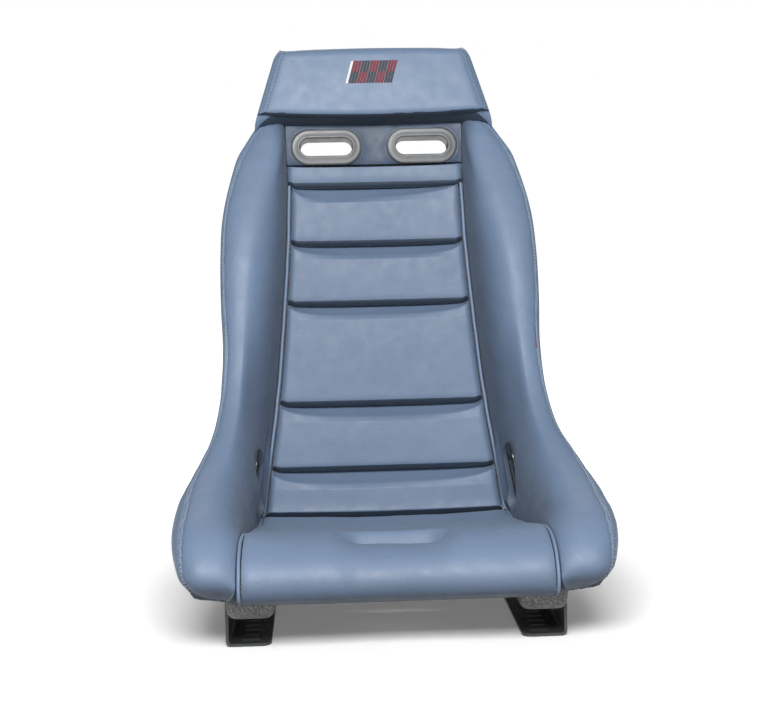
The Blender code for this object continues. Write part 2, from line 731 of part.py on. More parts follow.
def make_slot_panel():
    """The padded yoke that carries the two shoulder-belt slots."""
    low_z, high_z = PANEL_HEIGHTS[-1] + SEAM_GAP, SLOT_PANEL_TOP
    u_low = u_at_height(low_z, SLOT_PANEL_THICKNESS * 0.5)
    u_high = u_at_height(high_z, SLOT_PANEL_THICKNESS * 0.5)
    base, top = [], []
    rows = 6
    for i in range(rows + 1):
        u = u_low + (u_high - u_low) * i / rows
        edge = insert_edge(u)
        ends = soft_edge(min(i, rows - i) / rows + 0.15, 0.4)
        base_row, top_row = [], []
        for j in range(PANEL_COLUMNS + 1):
            across = -1.0 + 2.0 * j / PANEL_COLUMNS
            rise = SLOT_PANEL_THICKNESS * (0.7 + 0.3 * ends)
            base_row.append(above(u, across * edge, PANEL_BASE))
            top_row.append(above(u, across * edge, rise))
        base.append(base_row)
        top.append(top_row)
    return add_object("slot_panel", slab("slot_panel", base, top), PARTS, LEATHER)


def make_headrest():
    """A firm pad on the shell's head with a slanted underside."""
    rows, columns = 8, 12
    u_low = u_at_height(HEAD_BOTTOM, SHELL_WALL)
    base, top = [], []
    for i in range(rows + 1):
        share = i / rows
        u = u_low + (LAST_SECTION - 0.02 - u_low) * share
        base_row, top_row = [], []
        for j in range(columns + 1):
            across = -1.0 + 2.0 * j / columns
            base_row.append(above(u, across * HEAD_BASE_V, PANEL_BASE))
            top_row.append(head_face(share, across))
        base.append(base_row)
        top.append(top_row)
    add_object("headrest_pad", slab("headrest_pad", base, top), PARTS, LEATHER)


def head_face(share, across):
    """A point of the headrest's front face; share runs up it, across runs over it."""
    width = HEAD_FACE_WIDTH_LOW + (HEAD_FACE_WIDTH_HIGH - HEAD_FACE_WIDTH_LOW) * share
    width *= STRETCH[0]
    z = HEAD_FACE_BOTTOM + (HEAD_TOP - HEAD_FACE_BOTTOM) * share
    y = (HEAD_FACE_Y_LOW + (HEAD_FACE_Y_HIGH - HEAD_FACE_Y_LOW) * share) * STRETCH[1]
    side_gap = (1.0 - abs(across)) * width / 2
    end_gap = min(share, 1.0 - share) * (HEAD_TOP - HEAD_FACE_BOTTOM)
    round_side = 1.0 - soft_edge(side_gap, HEAD_EDGE_ROUND * 2)
    round_end = 1.0 - soft_edge(end_gap, HEAD_EDGE_ROUND)
    y += HEAD_EDGE_ROUND * max(round_side, round_end)
    return np.array([across * width / 2, y, z])


def cushion_rise(u, across):
    share = u / HEEL_U
    full = CUSHION_THICKNESS_FRONT * (1 - share) + CUSHION_THICKNESS_REAR * share
    front = soft_edge(u + 0.04, 0.45)
    rear = soft_edge(HEEL_U - u + 0.02, 0.25)
    side = soft_edge((1.0 - abs(across)) * 0.2 + 0.003, 0.016)
    ends = min(front, rear)
    return full * (0.25 + 0.75 * ends) - CUSHION_EDGE_DROP * (1 - side) * ends


def make_cushion():
    """The loose seat cushion, rolled over the shell's front lip."""
    base, top = [], []
    us = [0.0, 0.1, 0.25, 0.5, 0.8, 1.1, 1.45, 1.8, 2.2, 2.6, 3.0, 3.5, 4.0, 4.5, 5.0]
    us += [5.3, 5.5, HEEL_U]
    for u in us:
        edge = insert_edge(u)
        base_row, top_row = [], []
        for j in range(CUSHION_COLUMNS + 1):
            across = -1.0 + 2.0 * j / CUSHION_COLUMNS
            across = math.copysign(abs(across) ** EDGE_CROWDING, across)
            base_row.append(above(u, across * edge, CUSHION_BASE))
            top_row.append(above(u, across * edge, cushion_rise(u, across)))
        base.append(base_row)
        top.append(top_row)
    cushion = add_object("seat_cushion", slab("seat_cushion", base, top), PARTS, LEATHER)
    origin, side, rise, out = crotch_frame()
    mouth = CUSHION_THICKNESS_FRONT + SLEEVE_PROUD * 2
    funnel = []
    for slot, depth in ((CROTCH_BOTTOM, -REACH), (CROTCH_BOTTOM, CUSHION_BASE * 2),
                        (CROTCH_TOP, mouth), (CROTCH_TOP, mouth + REACH)):
        funnel.append(placed(stadium(*slot), origin, side, rise, out, depth))
    cut(cushion, cutter("crotch_funnel", loft("crotch_funnel", funnel)))
    return cushion


def make_piping(name, us, height_at):
    """A sewn cord along the right-hand piping line."""
    curve = bpy.data.curves.new(name, "CURVE")
    curve.dimensions = "3D"
    curve.bevel_depth = PIPING_RADIUS
    curve.bevel_resolution = 1
    curve.use_fill_caps = True
    line = curve.splines.new("POLY")
    line.points.add(len(us) - 1)
    for point, u in zip(line.points, us):
        point.co = (*above(u, SEAM_V, height_at(u) - PIPING_SINK), 1.0)
    source = bpy.data.objects.new(name + "_curve", curve)
    PARTS.objects.link(source)
    mesh = evaluated_mesh(source)
    bpy.data.objects.remove(source)
    mesh.materials.clear()
    return add_object(name, mesh, PARTS, PIPING)


def make_pipings():
    steps = [i / PIPING_STEPS for i in range(PIPING_STEPS + 1)]
    front, rear = CUSHION_PIPING_US
    us = [front + (rear - front) * step for step in steps]
    cushion = make_piping("cushion_piping_right", us, lambda u: cushion_rise(u, 1.0))
    low = u_at_height(PANEL_HEIGHTS[0] + PIPING_RADIUS * 2, PANEL_THICKNESS_HIGH)
    high = u_at_height(PANEL_HEIGHTS[-2], PANEL_THICKNESS_HIGH)
    us = [low + (high - low) * step for step in steps]
    back = make_piping("back_piping_right", us, insert_height)
    mirrored_copy(cushion, "cushion_piping_left")
    mirrored_copy(back, "back_piping_left")


def make_strips():
    """Hook-and-loop pairs that hold the loose cushion on the pan."""
    loop_height = STRIP_GAP * 2 + STRIP_HALF_THICKNESS
    for name, low in (("pan_hook_strip", STRIP_GAP), ("cushion_loop_strip", loop_height)):
        base, top = [], []
        for i in range(STRIP_STEPS + 1):
            u = STRIP_FRONT_U + (STRIP_REAR_U - STRIP_FRONT_U) * i / STRIP_STEPS
            base_row, top_row = [], []
            for x in (-STRIP_WIDTH / 2, STRIP_WIDTH / 2):
                v = (STRIP_SPACING / 2 + x) / spline(SECTIONS, u)[2]
                base_row.append(above(u, v, low))
                top_row.append(above(u, v, low + STRIP_HALF_THICKNESS))
            base.append(base_row)
            top.append(top_row)
        right = add_object(name + "_right", slab(name, base, top), PARTS, TRIM)
        mirrored_copy(right, name + "_left")


# --- Belt slots ----------------------------------------------------------------------


def harness_frame():
    """Origin on the yoke's face and axes of the right shoulder-belt slot."""
    u = u_at_height(HARNESS_Z, SLOT_PANEL_THICKNESS)
    v = HARNESS_SPACING * STRETCH[0] / 2 / spline(SECTIONS, u)[2]
    out = surface_normal(u, v)
    side = unit(np.cross(out, np.array([0.0, 0.0, 1.0]))) * -1.0
    origin = surface(u, v) + SLOT_PANEL_THICKNESS * out
    return origin, side, np.cross(out, side), out


def front_bezel_profile(reach):
    flange, thick, wall = BEZEL_FLANGE, BEZEL_FLANGE_THICKNESS, BEZEL_SLEEVE
    return [(0.0, -reach), (0.0, thick * 0.6), (wall, thick), (flange * 0.7, thick),
            (flange, thick * 0.4), (flange, FIT), (wall, FIT), (wall, -reach)]


def lap_frame():
    """Origin on the hip's inner wall and axes of the right lap-belt slot."""
    dip, lean = math.radians(LAP_SLOT_DIP), math.radians(LAP_SLOT_LEAN)
    out = np.array([-math.cos(dip), 0.0, -math.sin(dip)])
    upright = np.array([-math.sin(dip), 0.0, math.cos(dip)])
    long_side = upright * math.cos(lean) + np.array([0.0, math.sin(lean), 0.0])
    origin = np.array(LAP_SLOT_CENTRE) * STRETCH
    return origin, long_side, np.cross(out, long_side), out


def make_slot_bezels(kind, frame, shell, padding, tree):
    """Front and rear bezels of a belt slot on both sides, and the holes they line."""
    origin, _, _, out = frame
    behind = SEAT_DEPTH / 3
    face = Vector(origin - behind * out)
    depth = behind - (tree.ray_cast(face, Vector(out))[0] - face).length
    reach = depth + BEZEL_REAR_THICKNESS
    front = slot_ring(kind, HARNESS_SLOT, front_bezel_profile(reach), frame)
    right = add_object(f"{kind}_bezel_front_right", front, PARTS, TRIM)
    mirrored_copy(right, f"{kind}_bezel_front_left")
    rear = outside_ring(kind, HARNESS_SLOT, frame, tree)
    right = add_object(f"{kind}_bezel_rear_right", rear, PARTS, TRIM)
    mirrored_copy(right, f"{kind}_bezel_rear_left")
    growth = BEZEL_SLEEVE + BEZEL_FIT
    hole = slot_prism(f"{kind}_hole", HARNESS_SLOT, growth, frame, -reach - REACH, REACH)
    seat = slot_prism(f"{kind}_seat", HARNESS_SLOT, BEZEL_FLANGE + BEZEL_FIT, frame, 0.0, REACH)
    hole_twin = mirrored_cutter(hole, f"{kind}_hole_left")
    seat_twin = mirrored_cutter(seat, f"{kind}_seat_left")
    for tool in (hole, hole_twin):
        cut(shell, tool)
    for target, tools in padding:
        for tool in (hole, seat) if tools == "right" else (hole, seat, hole_twin, seat_twin):
            cut(target, tool)


def make_side_tag():
    """A small fabric tab sewn into the right bolster's outer edge."""
    out = unit(np.array([1.0, -0.35, 0.0]))
    base, top = [], []
    for i in range(5):
        u = TAG_U[0] + (TAG_U[1] - TAG_U[0]) * i / 4
        edge = bolster_ring(u, 1.0)[9:12]
        base_row, top_row = [], []
        for point in edge:
            base_row.append(point + out * (FIT + TAG_LIFT))
            top_row.append(point + out * (FIT + TAG_LIFT + TAG_THICKNESS))
        base.append(base_row)
        top.append(top_row)
    add_object("side_tag", slab("side_tag", base, top), PARTS, TAG_CLOTH)


def make_badge():
    """A plain sewn patch on the headrest's face."""
    base, top = [], []
    for i in range(3):
        z = BADGE_HEIGHT * STRETCH[2] + BADGE_SIZE[1] * (i / 2 - 0.5)
        share = (z - HEAD_FACE_BOTTOM) / (HEAD_TOP - HEAD_FACE_BOTTOM)
        run = HEAD_FACE_Y_HIGH - HEAD_FACE_Y_LOW
        y = (HEAD_FACE_Y_LOW + run * share) * STRETCH[1]
        lean = BADGE_SIZE[1] * BADGE_LEAN * (i - 1)
        row = [np.array([BADGE_SIZE[0] * (j / 4 - 0.5) + lean, y - FIT, z]) for j in range(5)]
        base.append(row)
        top.append([p - np.array([0.0, BADGE_THICKNESS, 0.0]) for p in row])
    add_object("headrest_badge", slab("headrest_badge", base, top), PARTS, BADGE_CLOTH)


# --- Brackets and fasteners ----------------------------------------------------------


def make_bracket():
    """Right-hand L bracket: wall outside, slotted flange inwards on the floor."""
    inner = RAIL_X + BRACKET_GAP
    outer = inner + BRACKET_WALL
    flange_end = outer - BRACKET_FLANGE
    profile = [(flange_end, 0.0)]
    for i in range(4):
        angle = math.radians(-90.0 + 30.0 * i)
        profile.append((outer - BRACKET_BEND + BRACKET_BEND * math.cos(angle),
                        BRACKET_BEND + BRACKET_BEND * math.sin(angle)))
    profile += [(outer, BRACKET_HEIGHT), (inner, BRACKET_HEIGHT)]
    bend = BRACKET_BEND - BRACKET_WALL
    for i in range(4):
        angle = math.radians(-30.0 * i)
        profile.append((inner - bend + bend * math.cos(angle),
                        BRACKET_WALL + bend + bend * math.sin(angle)))
    profile.append((flange_end, BRACKET_WALL))
    bm = bmesh.new()
    face = bm.faces.new([bm.verts.new((x, BRACKET_Y, z)) for x, z in profile])
    grown = bmesh.ops.extrude_face_region(bm, geom=[face])
    moved = [v for v in grown["geom"] if isinstance(v, bmesh.types.BMVert)]
    bmesh.ops.translate(bm, verts=moved, vec=(0.0, BRACKET_LENGTH, 0.0))
    corners = [e for e in bm.edges if is_bracket_corner(e, flange_end)]
    bmesh.ops.bevel(bm, geom=corners, offset=BRACKET_CORNER, segments=3, profile=0.5,
                    affect="EDGES")
    bracket = add_object("bracket_right", finished_mesh("bracket", bm), PARTS, POWDER_COAT)
    slots = bracket_slots(flange_end)
    cut(bracket, slots)
    for end, y in zip(("front", "rear"), BOLT_YS):
        ends = (inner - BRACKET_WALL, outer + BRACKET_WALL)
        cut(bracket, bore(f"bracket_bore_{end}", y, BOLT_RADIUS + FIT, *ends))
    return bracket


def is_bracket_corner(edge, flange_end):
    a, b = (v.co for v in edge.verts)
    upright = abs(a.z - b.z) > 0.001 and abs(a.y - b.y) < 1e-6 and abs(a.x - b.x) < 1e-6
    on_flange = upright and abs(a.x - flange_end) < 1e-6
    on_wall = abs(a.x - b.x) > 0.001 and min(a.z, b.z) > BRACKET_HEIGHT - 1e-6
    on_wall = on_wall and abs(a.y - b.y) < 1e-6
    return on_flange or on_wall


def bracket_slots(flange_end):
    """One cutter that holds both rows of floor slots."""
    bm = bmesh.new()
    room = BRACKET_FLANGE - BRACKET_BEND
    x = flange_end + room / 2
    for k in range(BRACKET_SLOTS_PER_END):
        ahead = BRACKET_SLOT_FIRST + k * BRACKET_SLOT_PITCH
        for y in (BRACKET_Y + ahead, BRACKET_Y + BRACKET_LENGTH - ahead):
            outline = [(x + a, y + b) for a, b in stadium(*BRACKET_SLOT, arc_steps=4)]
            low = [bm.verts.new((a, b, -BRACKET_WALL)) for a, b in outline]
            high = [bm.verts.new((a, b, BRACKET_WALL * 2)) for a, b in outline]
            bm.faces.new(low[::-1])
            bm.faces.new(high)
            for i in range(len(low)):
                j = (i + 1) % len(low)
                bm.faces.new((low[i], low[j], high[j], high[i]))
    return cutter("bracket_slots", finished_mesh("bracket_slots", bm))


def bore(name, y, radius, x_start, x_end):
    """A cutter for a round hole along X at bolt height."""
    bm = bmesh.new()
    bmesh.ops.create_cone(bm, cap_ends=True, segments=14, radius1=radius, radius2=radius,
                          depth=x_end - x_start)
    turn = Matrix.Rotation(math.radians(90.0), 4, "Y")
    place = Matrix.Translation(((x_start + x_end) / 2, y, BOLT_HEIGHT))
    bmesh.ops.transform(bm, matrix=place @ turn, verts=bm.verts)
    return cutter(name, finished_mesh(name, bm))


def turned(name, profile, place, hollow=False, segments=14):
    """A turned piece: (radius, axial) profile about its own axis, laid along +X."""
    rings = []
    for radius, along in profile:
        ring = []
        for i in range(segments):
            angle = 2 * math.pi * i / segments
            ring.append((along, radius * math.cos(angle), radius * math.sin(angle)))
        rings.append(ring)
    made = add_object(name, loft(name, rings, closed=hollow), PARTS, ZINC)
    made.location = place
    return made


def make_fasteners(rail):
    outer = RAIL_X + BRACKET_GAP + BRACKET_WALL
    for end, y in zip(("front", "rear"), BOLT_YS):
        seat = outer + FIT + WASHER_THICKNESS + FIT
        tip = seat - BOLT_LENGTH
        bolt = [(BOLT_RADIUS, tip), (BOLT_RADIUS, seat), (BOLT_HEAD_RADIUS, seat),
                (BOLT_HEAD_RADIUS, seat + BOLT_HEAD_HEIGHT * 0.9),
                (BOLT_HEAD_RADIUS * 0.9, seat + BOLT_HEAD_HEIGHT)]
        place = (0.0, y, BOLT_HEIGHT)
        right = turned(f"bracket_bolt_{end}_right", bolt, place)
        socket = bore(f"socket_{end}", y, BOLT_SOCKET, seat + BOLT_HEAD_HEIGHT * 0.5,
                      seat + BOLT_HEAD_HEIGHT * 2)
        cut(right, socket)
        bore_radius = BOLT_RADIUS + FIT
        washer = ring_profile(bore_radius, WASHER_RADIUS, outer + FIT, WASHER_THICKNESS)
        right_washer = turned(f"bracket_washer_{end}_right", washer, place, hollow=True)
        inside = RAIL_X - RAIL_WALL - FIT - INSERT_LENGTH
        insert = ring_profile(bore_radius, INSERT_RADIUS, inside, INSERT_LENGTH)
        right_insert = turned(f"threaded_insert_{end}_right", insert, place, hollow=True)
        ends = (RAIL_X - RAIL_WALL * 2, RAIL_X + RAIL_WALL)
        cut(rail, bore(f"rail_bore_{end}", y, bore_radius, *ends))
        for piece in (right, right_washer, right_insert):
            add_left_twin(piece)


def ring_profile(inner, outer, start, length):
    return [(inner, start), (outer, start), (outer, start + length), (inner, start + length)]


def add_left_twin(piece):
    """The left-hand copy of a piece, with its modifiers' result taken along."""
    mesh = evaluated_mesh(piece)
    mesh.transform(piece.matrix_basis)
    mesh.transform(Matrix.Scale(-1.0, 4, (1.0, 0.0, 0.0)))
    mesh.flip_normals()
    twin = bpy.data.objects.new(piece.name.replace("right", "left"), mesh)
    PARTS.objects.link(twin)


def settle_on_origin():
    """Move everything so that the seat's box stands centred over the origin."""
    graph = bpy.context.evaluated_depsgraph_get()
    low, high = math.inf, -math.inf
    for piece in PARTS.objects:
        for vertex in piece.evaluated_get(graph).data.vertices:
            y = (piece.matrix_world @ vertex.co).y
            low, high = min(low, y), max(high, y)
    for piece in list(PARTS.objects) + list(CUTTERS.objects):
        piece.location.y -= (low + high) / 2


# --- Assembly ------------------------------------------------------------------------

for old in list(bpy.data.objects):
    bpy.data.objects.remove(old)

PARTS = new_collection("racing_seat")
CUTTERS = new_collection("cutters")
LEATHER = material("blue_leatherette", (0.17, 0.23, 0.34), 0.42)
PIPING = material("piping_cord", (0.19, 0.25, 0.36), 0.45)
SPECKLED = material("speckled_gelcoat", (0.11, 0.11, 0.11), 0.55)
TRIM = material("black_plastic", (0.03, 0.03, 0.033), 0.35)
POWDER_COAT = material("powder_coated_steel", (0.012, 0.013, 0.013), 0.4, 0.3)
ZINC = material("zinc_steel", (0.55, 0.55, 0.53), 0.3, 1.0)
BADGE_CLOTH = material("badge_cloth", (0.02, 0.02, 0.025), 0.7)
TAG_CLOTH = material("tag_cloth", (0.15, 0.01, 0.015), 0.7)

seat_shell = make_shell()
shell_tree = surface_tree(seat_shell)
rail_right = make_rail(shell_tree)
make_crotch_bezel(seat_shell)
bolster_right = make_bolster()
panels = [make_back_panel(index) for index in range(len(PANEL_HEIGHTS) - 1)]
slot_panel = make_slot_panel()
make_headrest()
make_cushion()
make_pipings()
make_strips()
yoke = [(slot_panel, "both"), (panels[-1], "both"), (bolster_right, "right")]
make_slot_bezels("harness", harness_frame(), seat_shell, yoke, shell_tree)
make_slot_bezels("lap_belt", lap_frame(), seat_shell, [(bolster_right, "right")], shell_tree)
shell_sectors = split_shell(seat_shell)
make_side_tag()
make_badge()
bracket_right = make_bracket()
make_fasteners(rail_right)
for piece in (rail_right, bolster_right, bracket_right, *shell_sectors):
    add_left_twin(piece)
settle_on_origin()
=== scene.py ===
import math

import bmesh
import bpy
import numpy as np
from mathutils import Matrix, Vector
from mathutils.bvhtree import BVHTree


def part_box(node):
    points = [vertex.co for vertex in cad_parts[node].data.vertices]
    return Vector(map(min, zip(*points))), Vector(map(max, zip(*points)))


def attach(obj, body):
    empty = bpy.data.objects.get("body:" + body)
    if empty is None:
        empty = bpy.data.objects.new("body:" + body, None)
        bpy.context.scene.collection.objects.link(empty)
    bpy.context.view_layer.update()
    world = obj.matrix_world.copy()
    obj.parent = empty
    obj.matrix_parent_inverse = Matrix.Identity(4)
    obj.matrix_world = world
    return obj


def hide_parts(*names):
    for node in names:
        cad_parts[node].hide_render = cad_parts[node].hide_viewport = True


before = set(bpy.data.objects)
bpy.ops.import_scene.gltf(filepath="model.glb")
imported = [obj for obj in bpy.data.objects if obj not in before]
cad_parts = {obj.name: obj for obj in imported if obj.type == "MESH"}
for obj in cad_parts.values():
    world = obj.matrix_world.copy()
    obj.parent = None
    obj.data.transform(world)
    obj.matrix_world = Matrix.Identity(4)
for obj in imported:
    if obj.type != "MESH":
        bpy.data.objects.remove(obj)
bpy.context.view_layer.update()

# --- Camera and studio ---------------------------------------------------------------

IMAGE_WIDTH = 779
FOCAL_PIXELS = 1460.0
SENSOR = 36.0
CAMERA_PLACE = (-0.0869, -2.0899, 0.564)
CAMERA_YAW = 2.556          # degrees towards +X
CAMERA_PITCH = 5.3          # degrees down
CAMERA_ROLL = -1.244
FILL_STRENGTH = 0.070        # the world's light on surfaces
BACKDROP_STRENGTH = 1.0      # the world as the camera sees it


def make_camera():
    data = bpy.data.cameras.new("camera")
    data.sensor_width = SENSOR
    data.lens = FOCAL_PIXELS / IMAGE_WIDTH * SENSOR
    yaw, pitch, roll = (math.radians(a) for a in (CAMERA_YAW, CAMERA_PITCH, CAMERA_ROLL))
    ahead = Vector((math.sin(yaw) * math.cos(pitch), math.cos(yaw) * math.cos(pitch),
                    -math.sin(pitch)))
    right = Vector((math.cos(yaw), -math.sin(yaw), 0.0))
    up = right.cross(ahead)
    rolled_right = right * math.cos(roll) + up * math.sin(roll)
    rolled_up = up * math.cos(roll) - right * math.sin(roll)
    matrix = Matrix((rolled_right, rolled_up, -ahead)).transposed().to_4x4()
    matrix.translation = Vector(CAMERA_PLACE)
    camera = bpy.data.objects.new("camera", data)
    bpy.context.scene.collection.objects.link(camera)
    camera.matrix_world = matrix
    bpy.context.scene.camera = camera


def make_light(name, place, aim, size, power):
    data = bpy.data.lights.new(name, "AREA")
    data.shape = "RECTANGLE"
    data.size, data.size_y = size
    data.energy = power
    light = bpy.data.objects.new(name, data)
    bpy.context.scene.collection.objects.link(light)
    light.location = place
    light.rotation_euler = (Vector(aim) - Vector(place)).to_track_quat("-Z", "Y").to_euler()
    return light


def make_studio():
    scene = bpy.context.scene
    scene.view_settings.view_transform = "Standard"
    world = bpy.data.worlds.new("studio")
    scene.world = world
    world.use_nodes = True
    nodes, links = world.node_tree.nodes, world.node_tree.links
    background = nodes["Background"]
    background.inputs["Color"].default_value = (1.0, 1.0, 1.0, 1.0)
    path = nodes.new("ShaderNodeLightPath")
    strength = nodes.new("ShaderNodeMapRange")
    strength.inputs["To Min"].default_value = FILL_STRENGTH
    strength.inputs["To Max"].default_value = BACKDROP_STRENGTH
    links.new(path.outputs["Is Camera Ray"], strength.inputs["Value"])
    links.new(strength.outputs["Result"], background.inputs["Strength"])
    make_light("key", (-0.15, -2.35, 1.85), (0.0, 0.0, 0.42), (1.3, 0.8), 118.0)
    make_light("top", (0.0, -0.5, 2.4), (0.0, 0.0, 0.3), (1.8, 1.8), 4.0)
    make_light("low", (0.0, -2.2, 0.28), (0.0, -0.2, 0.05), (1.4, 0.3), 9.0)
    make_light("back", (0.0, 2.2, 1.8), (0.0, 0.2, 0.4), (2.0, 1.4), 16.0)
    bm = bmesh.new()
    bmesh.ops.create_grid(bm, x_segments=2, y_segments=2, size=14.0)
    mesh = bpy.data.meshes.new("floor")
    bm.to_mesh(mesh)
    bm.free()
    floor = bpy.data.objects.new("floor", mesh)
    scene.collection.objects.link(floor)
    mesh.materials.append(floor_material())
    floor.visible_diffuse = False


# --- Materials -----------------------------------------------------------------------


class Shader:
    """A material's node tree with short calls for the nodes that this scene uses."""

    def __init__(self, name):
        self.material = bpy.data.materials.new(name)
        self.material.use_nodes = True
        self.nodes = self.material.node_tree.nodes
        self.links = self.material.node_tree.links
        self.shader = self.nodes["Principled BSDF"]
        self.place = self.nodes.new("ShaderNodeTexCoord").outputs["Object"]

    def set(self, **values):
        for name, value in values.items():
            self.shader.inputs[name.replace("_", " ")].default_value = value

    def join(self, source, target):
        self.links.new(source, target)

    def noise(self, scale, detail=3.0, rough=0.5):
        node = self.nodes.new("ShaderNodeTexNoise")
        node.inputs["Scale"].default_value = scale
        node.inputs["Detail"].default_value = detail
        node.inputs["Roughness"].default_value = rough
        self.join(self.place, node.inputs["Vector"])
        return node.outputs["Fac"]

    def cells(self, scale, feature):
        node = self.nodes.new("ShaderNodeTexVoronoi")
        node.feature = feature
        node.inputs["Scale"].default_value = scale
        self.join(self.place, node.inputs["Vector"])
        return node.outputs["Distance"]

    def ranged(self, value, low, high, to_low, to_high):
        node = self.nodes.new("ShaderNodeMapRange")
        for socket, number in zip(("From Min", "From Max", "To Min", "To Max"),
                                  (low, high, to_low, to_high)):
            node.inputs[socket].default_value = number
        self.join(value, node.inputs["Value"])
        return node.outputs["Result"]

    def math(self, operation, first, second):
        node = self.nodes.new("ShaderNodeMath")
        node.operation = operation
        for socket, value in zip(node.inputs, (first, second)):
            if isinstance(value, float):
                socket.default_value = value
            else:
                self.join(value, socket)
        return node.outputs["Value"]

    def colours(self, value, *stops):
        node = self.nodes.new("ShaderNodeValToRGB")
        ramp = node.color_ramp
        while len(ramp.elements) < len(stops):
            ramp.elements.new(0.5)
        for element, (position, colour) in zip(ramp.elements, stops):
            element.position = position
            element.color = (*colour, 1.0)
        self.join(value, node.inputs["Fac"])
        return node.outputs["Color"]

    def blend(self, share, first, second):
        node = self.nodes.new("ShaderNodeMix")
        node.data_type = "RGBA"
        if isinstance(share, float):
            node.inputs["Factor"].default_value = share
        else:
            self.join(share, node.inputs["Factor"])
        self.join(first, node.inputs[6])
        self.join(second, node.inputs[7])
        return node.outputs[2]

    def bump(self, height, strength, distance, under=None):
        node = self.nodes.new("ShaderNodeBump")
        node.inputs["Strength"].default_value = strength
        node.inputs["Distance"].default_value = distance
        self.join(height, node.inputs["Height"])
        if under is not None:
            self.join(under, node.inputs["Normal"])
        return node.outputs["Normal"]

    def finish(self, colour, roughness, normal):
        self.join(colour, self.shader.inputs["Base Color"])
        self.join(roughness, self.shader.inputs["Roughness"])
        self.join(normal, self.shader.inputs["Normal"])
        return self.material


def floor_material():
    made = Shader("pale_floor")
    colour = made.colours(made.noise(1.5), (0.3, (0.86, 0.865, 0.87)), (0.7, (0.90, 0.90, 0.905)))
    roughness = made.ranged(made.noise(6.0), 0.3, 0.7, 0.75, 0.85)
    reach = made.nodes.new("ShaderNodeVectorMath")
    reach.operation = "LENGTH"
    made.join(made.place, reach.inputs[0])
    glow = made.ranged(reach.outputs["Value"], 0.35, 1.15, 0.13, 1.1)
    made.shader.inputs["Emission Color"].default_value = (1.0, 1.0, 1.0, 1.0)
    made.join(glow, made.shader.inputs["Emission Strength"])
    return made.finish(colour, roughness, made.bump(made.noise(900.0), 0.04, 0.0005))


def leather_material(name, deep, mid, light, grain=1.0):
    """Leatherette: pebbled grain with dark creases between soft, uneven pebbles."""
    made = Shader(name)
    warp = made.noise(230.0, 2.0)
    pebble = made.cells(520.0, "SMOOTH_F1")
    fine = made.noise(1500.0, 2.0)
    grainy = made.math("ADD", made.math("MULTIPLY", pebble, 0.9), made.math("MULTIPLY", warp, 0.5))
    grainy = made.math("ADD", grainy, made.math("MULTIPLY", fine, 0.22))
    cloudy = made.noise(7.0, 4.0, 0.6)
    body = made.colours(cloudy, (0.25, mid), (0.75, light))
    creases = made.ranged(grainy, 0.85, 1.15, 0.0, 0.55)
    dark = made.colours(cloudy, (0.25, deep), (0.75, mid))
    colour = made.blend(creases, body, dark)
    # painted shade: the 'shade' attribute blends the leather towards a near-black blue where shadow
    # falls
    shade = made.nodes.new("ShaderNodeAttribute")
    shade.attribute_name = "shade"
    shadow = [[c * share for c in deep] for share in (0.30, 0.42)]
    colour = made.blend(shade.outputs["Fac"], colour,
                        made.colours(cloudy, (0.25, shadow[0]), (0.75, shadow[1])))
    roughness = made.ranged(made.noise(60.0, 3.0), 0.3, 0.7, 0.46, 0.56)
    made.set(Specular_IOR_Level=0.36, Sheen_Weight=0.10, Sheen_Roughness=0.5)
    made.shader.inputs["Sheen Tint"].default_value = (0.75, 0.85, 1.0, 1.0)
    soft = made.bump(made.noise(95.0, 2.0), 0.10 * grain, 0.0011)
    return made.finish(colour, roughness, made.bump(grainy, 0.34 * grain, -0.00045, soft))


def gelcoat_material(name, gain):
    """Charcoal gelcoat with pale and dark flecks and a hammered surface."""
    made = Shader(name)
    flecks = made.noise(620.0, 2.0, 0.7)
    cloudy = made.noise(14.0, 3.0)
    greys = [(g * gain, g * gain, g * gain * 1.01) for g in (0.050, 0.072, 0.012, 0.060, 0.085, 0.30)]
    base = made.colours(cloudy, (0.3, greys[0]), (0.7, greys[1]))
    spots = made.colours(flecks, (0.36, greys[2]), (0.47, greys[3]), (0.56, greys[4]),
                         (0.66, greys[5]))
    colour = made.blend(0.72, base, spots)
    roughness = made.ranged(made.noise(300.0), 0.3, 0.7, 0.42, 0.62)
    hammered = made.bump(made.noise(420.0, 2.0), 0.5, 0.0006)
    made.set(Coat_Weight=0.15)
    return made.finish(colour, roughness, hammered)


def plastic_material(name, dark, light, low, high, grain=0.12):
    """Moulded plastic with a fine spark-eroded texture and slightly rubbed areas."""
    made = Shader(name)
    colour = made.colours(made.noise(22.0, 4.0, 0.6), (0.3, dark), (0.7, light))
    roughness = made.ranged(made.noise(45.0, 4.0), 0.3, 0.7, low, high)
    return made.finish(colour, roughness, made.bump(made.noise(1800.0, 2.0), grain, 0.0003))


def powder_material():
    """Black powder coat: orange peel over steel, a little dusty in places."""
    made = Shader("powder_coat")
    colour = made.colours(made.noise(18.0, 5.0, 0.65), (0.35, (0.030, 0.033, 0.033)),
                          (0.75, (0.055, 0.059, 0.058)))
    roughness = made.ranged(made.noise(70.0, 4.0), 0.3, 0.7, 0.28, 0.42)
    peel = made.bump(made.noise(650.0, 1.0), 0.16, 0.0004)
    made.set(Specular_IOR_Level=0.5)
    return made.finish(colour, roughness, peel)


def metal_material():
    """Zinc-plated steel, brushed round by handling."""
    made = Shader("zinc_steel")
    colour = made.colours(made.noise(120.0, 4.0), (0.3, (0.42, 0.42, 0.40)), (0.7, (0.62, 0.62, 0.60)))
    roughness = made.ranged(made.noise(400.0, 3.0), 0.3, 0.7, 0.22, 0.42)
    made.set(Metallic=1.0)
    return made.finish(colour, roughness, made.bump(made.noise(1600.0), 0.08, 0.0002))


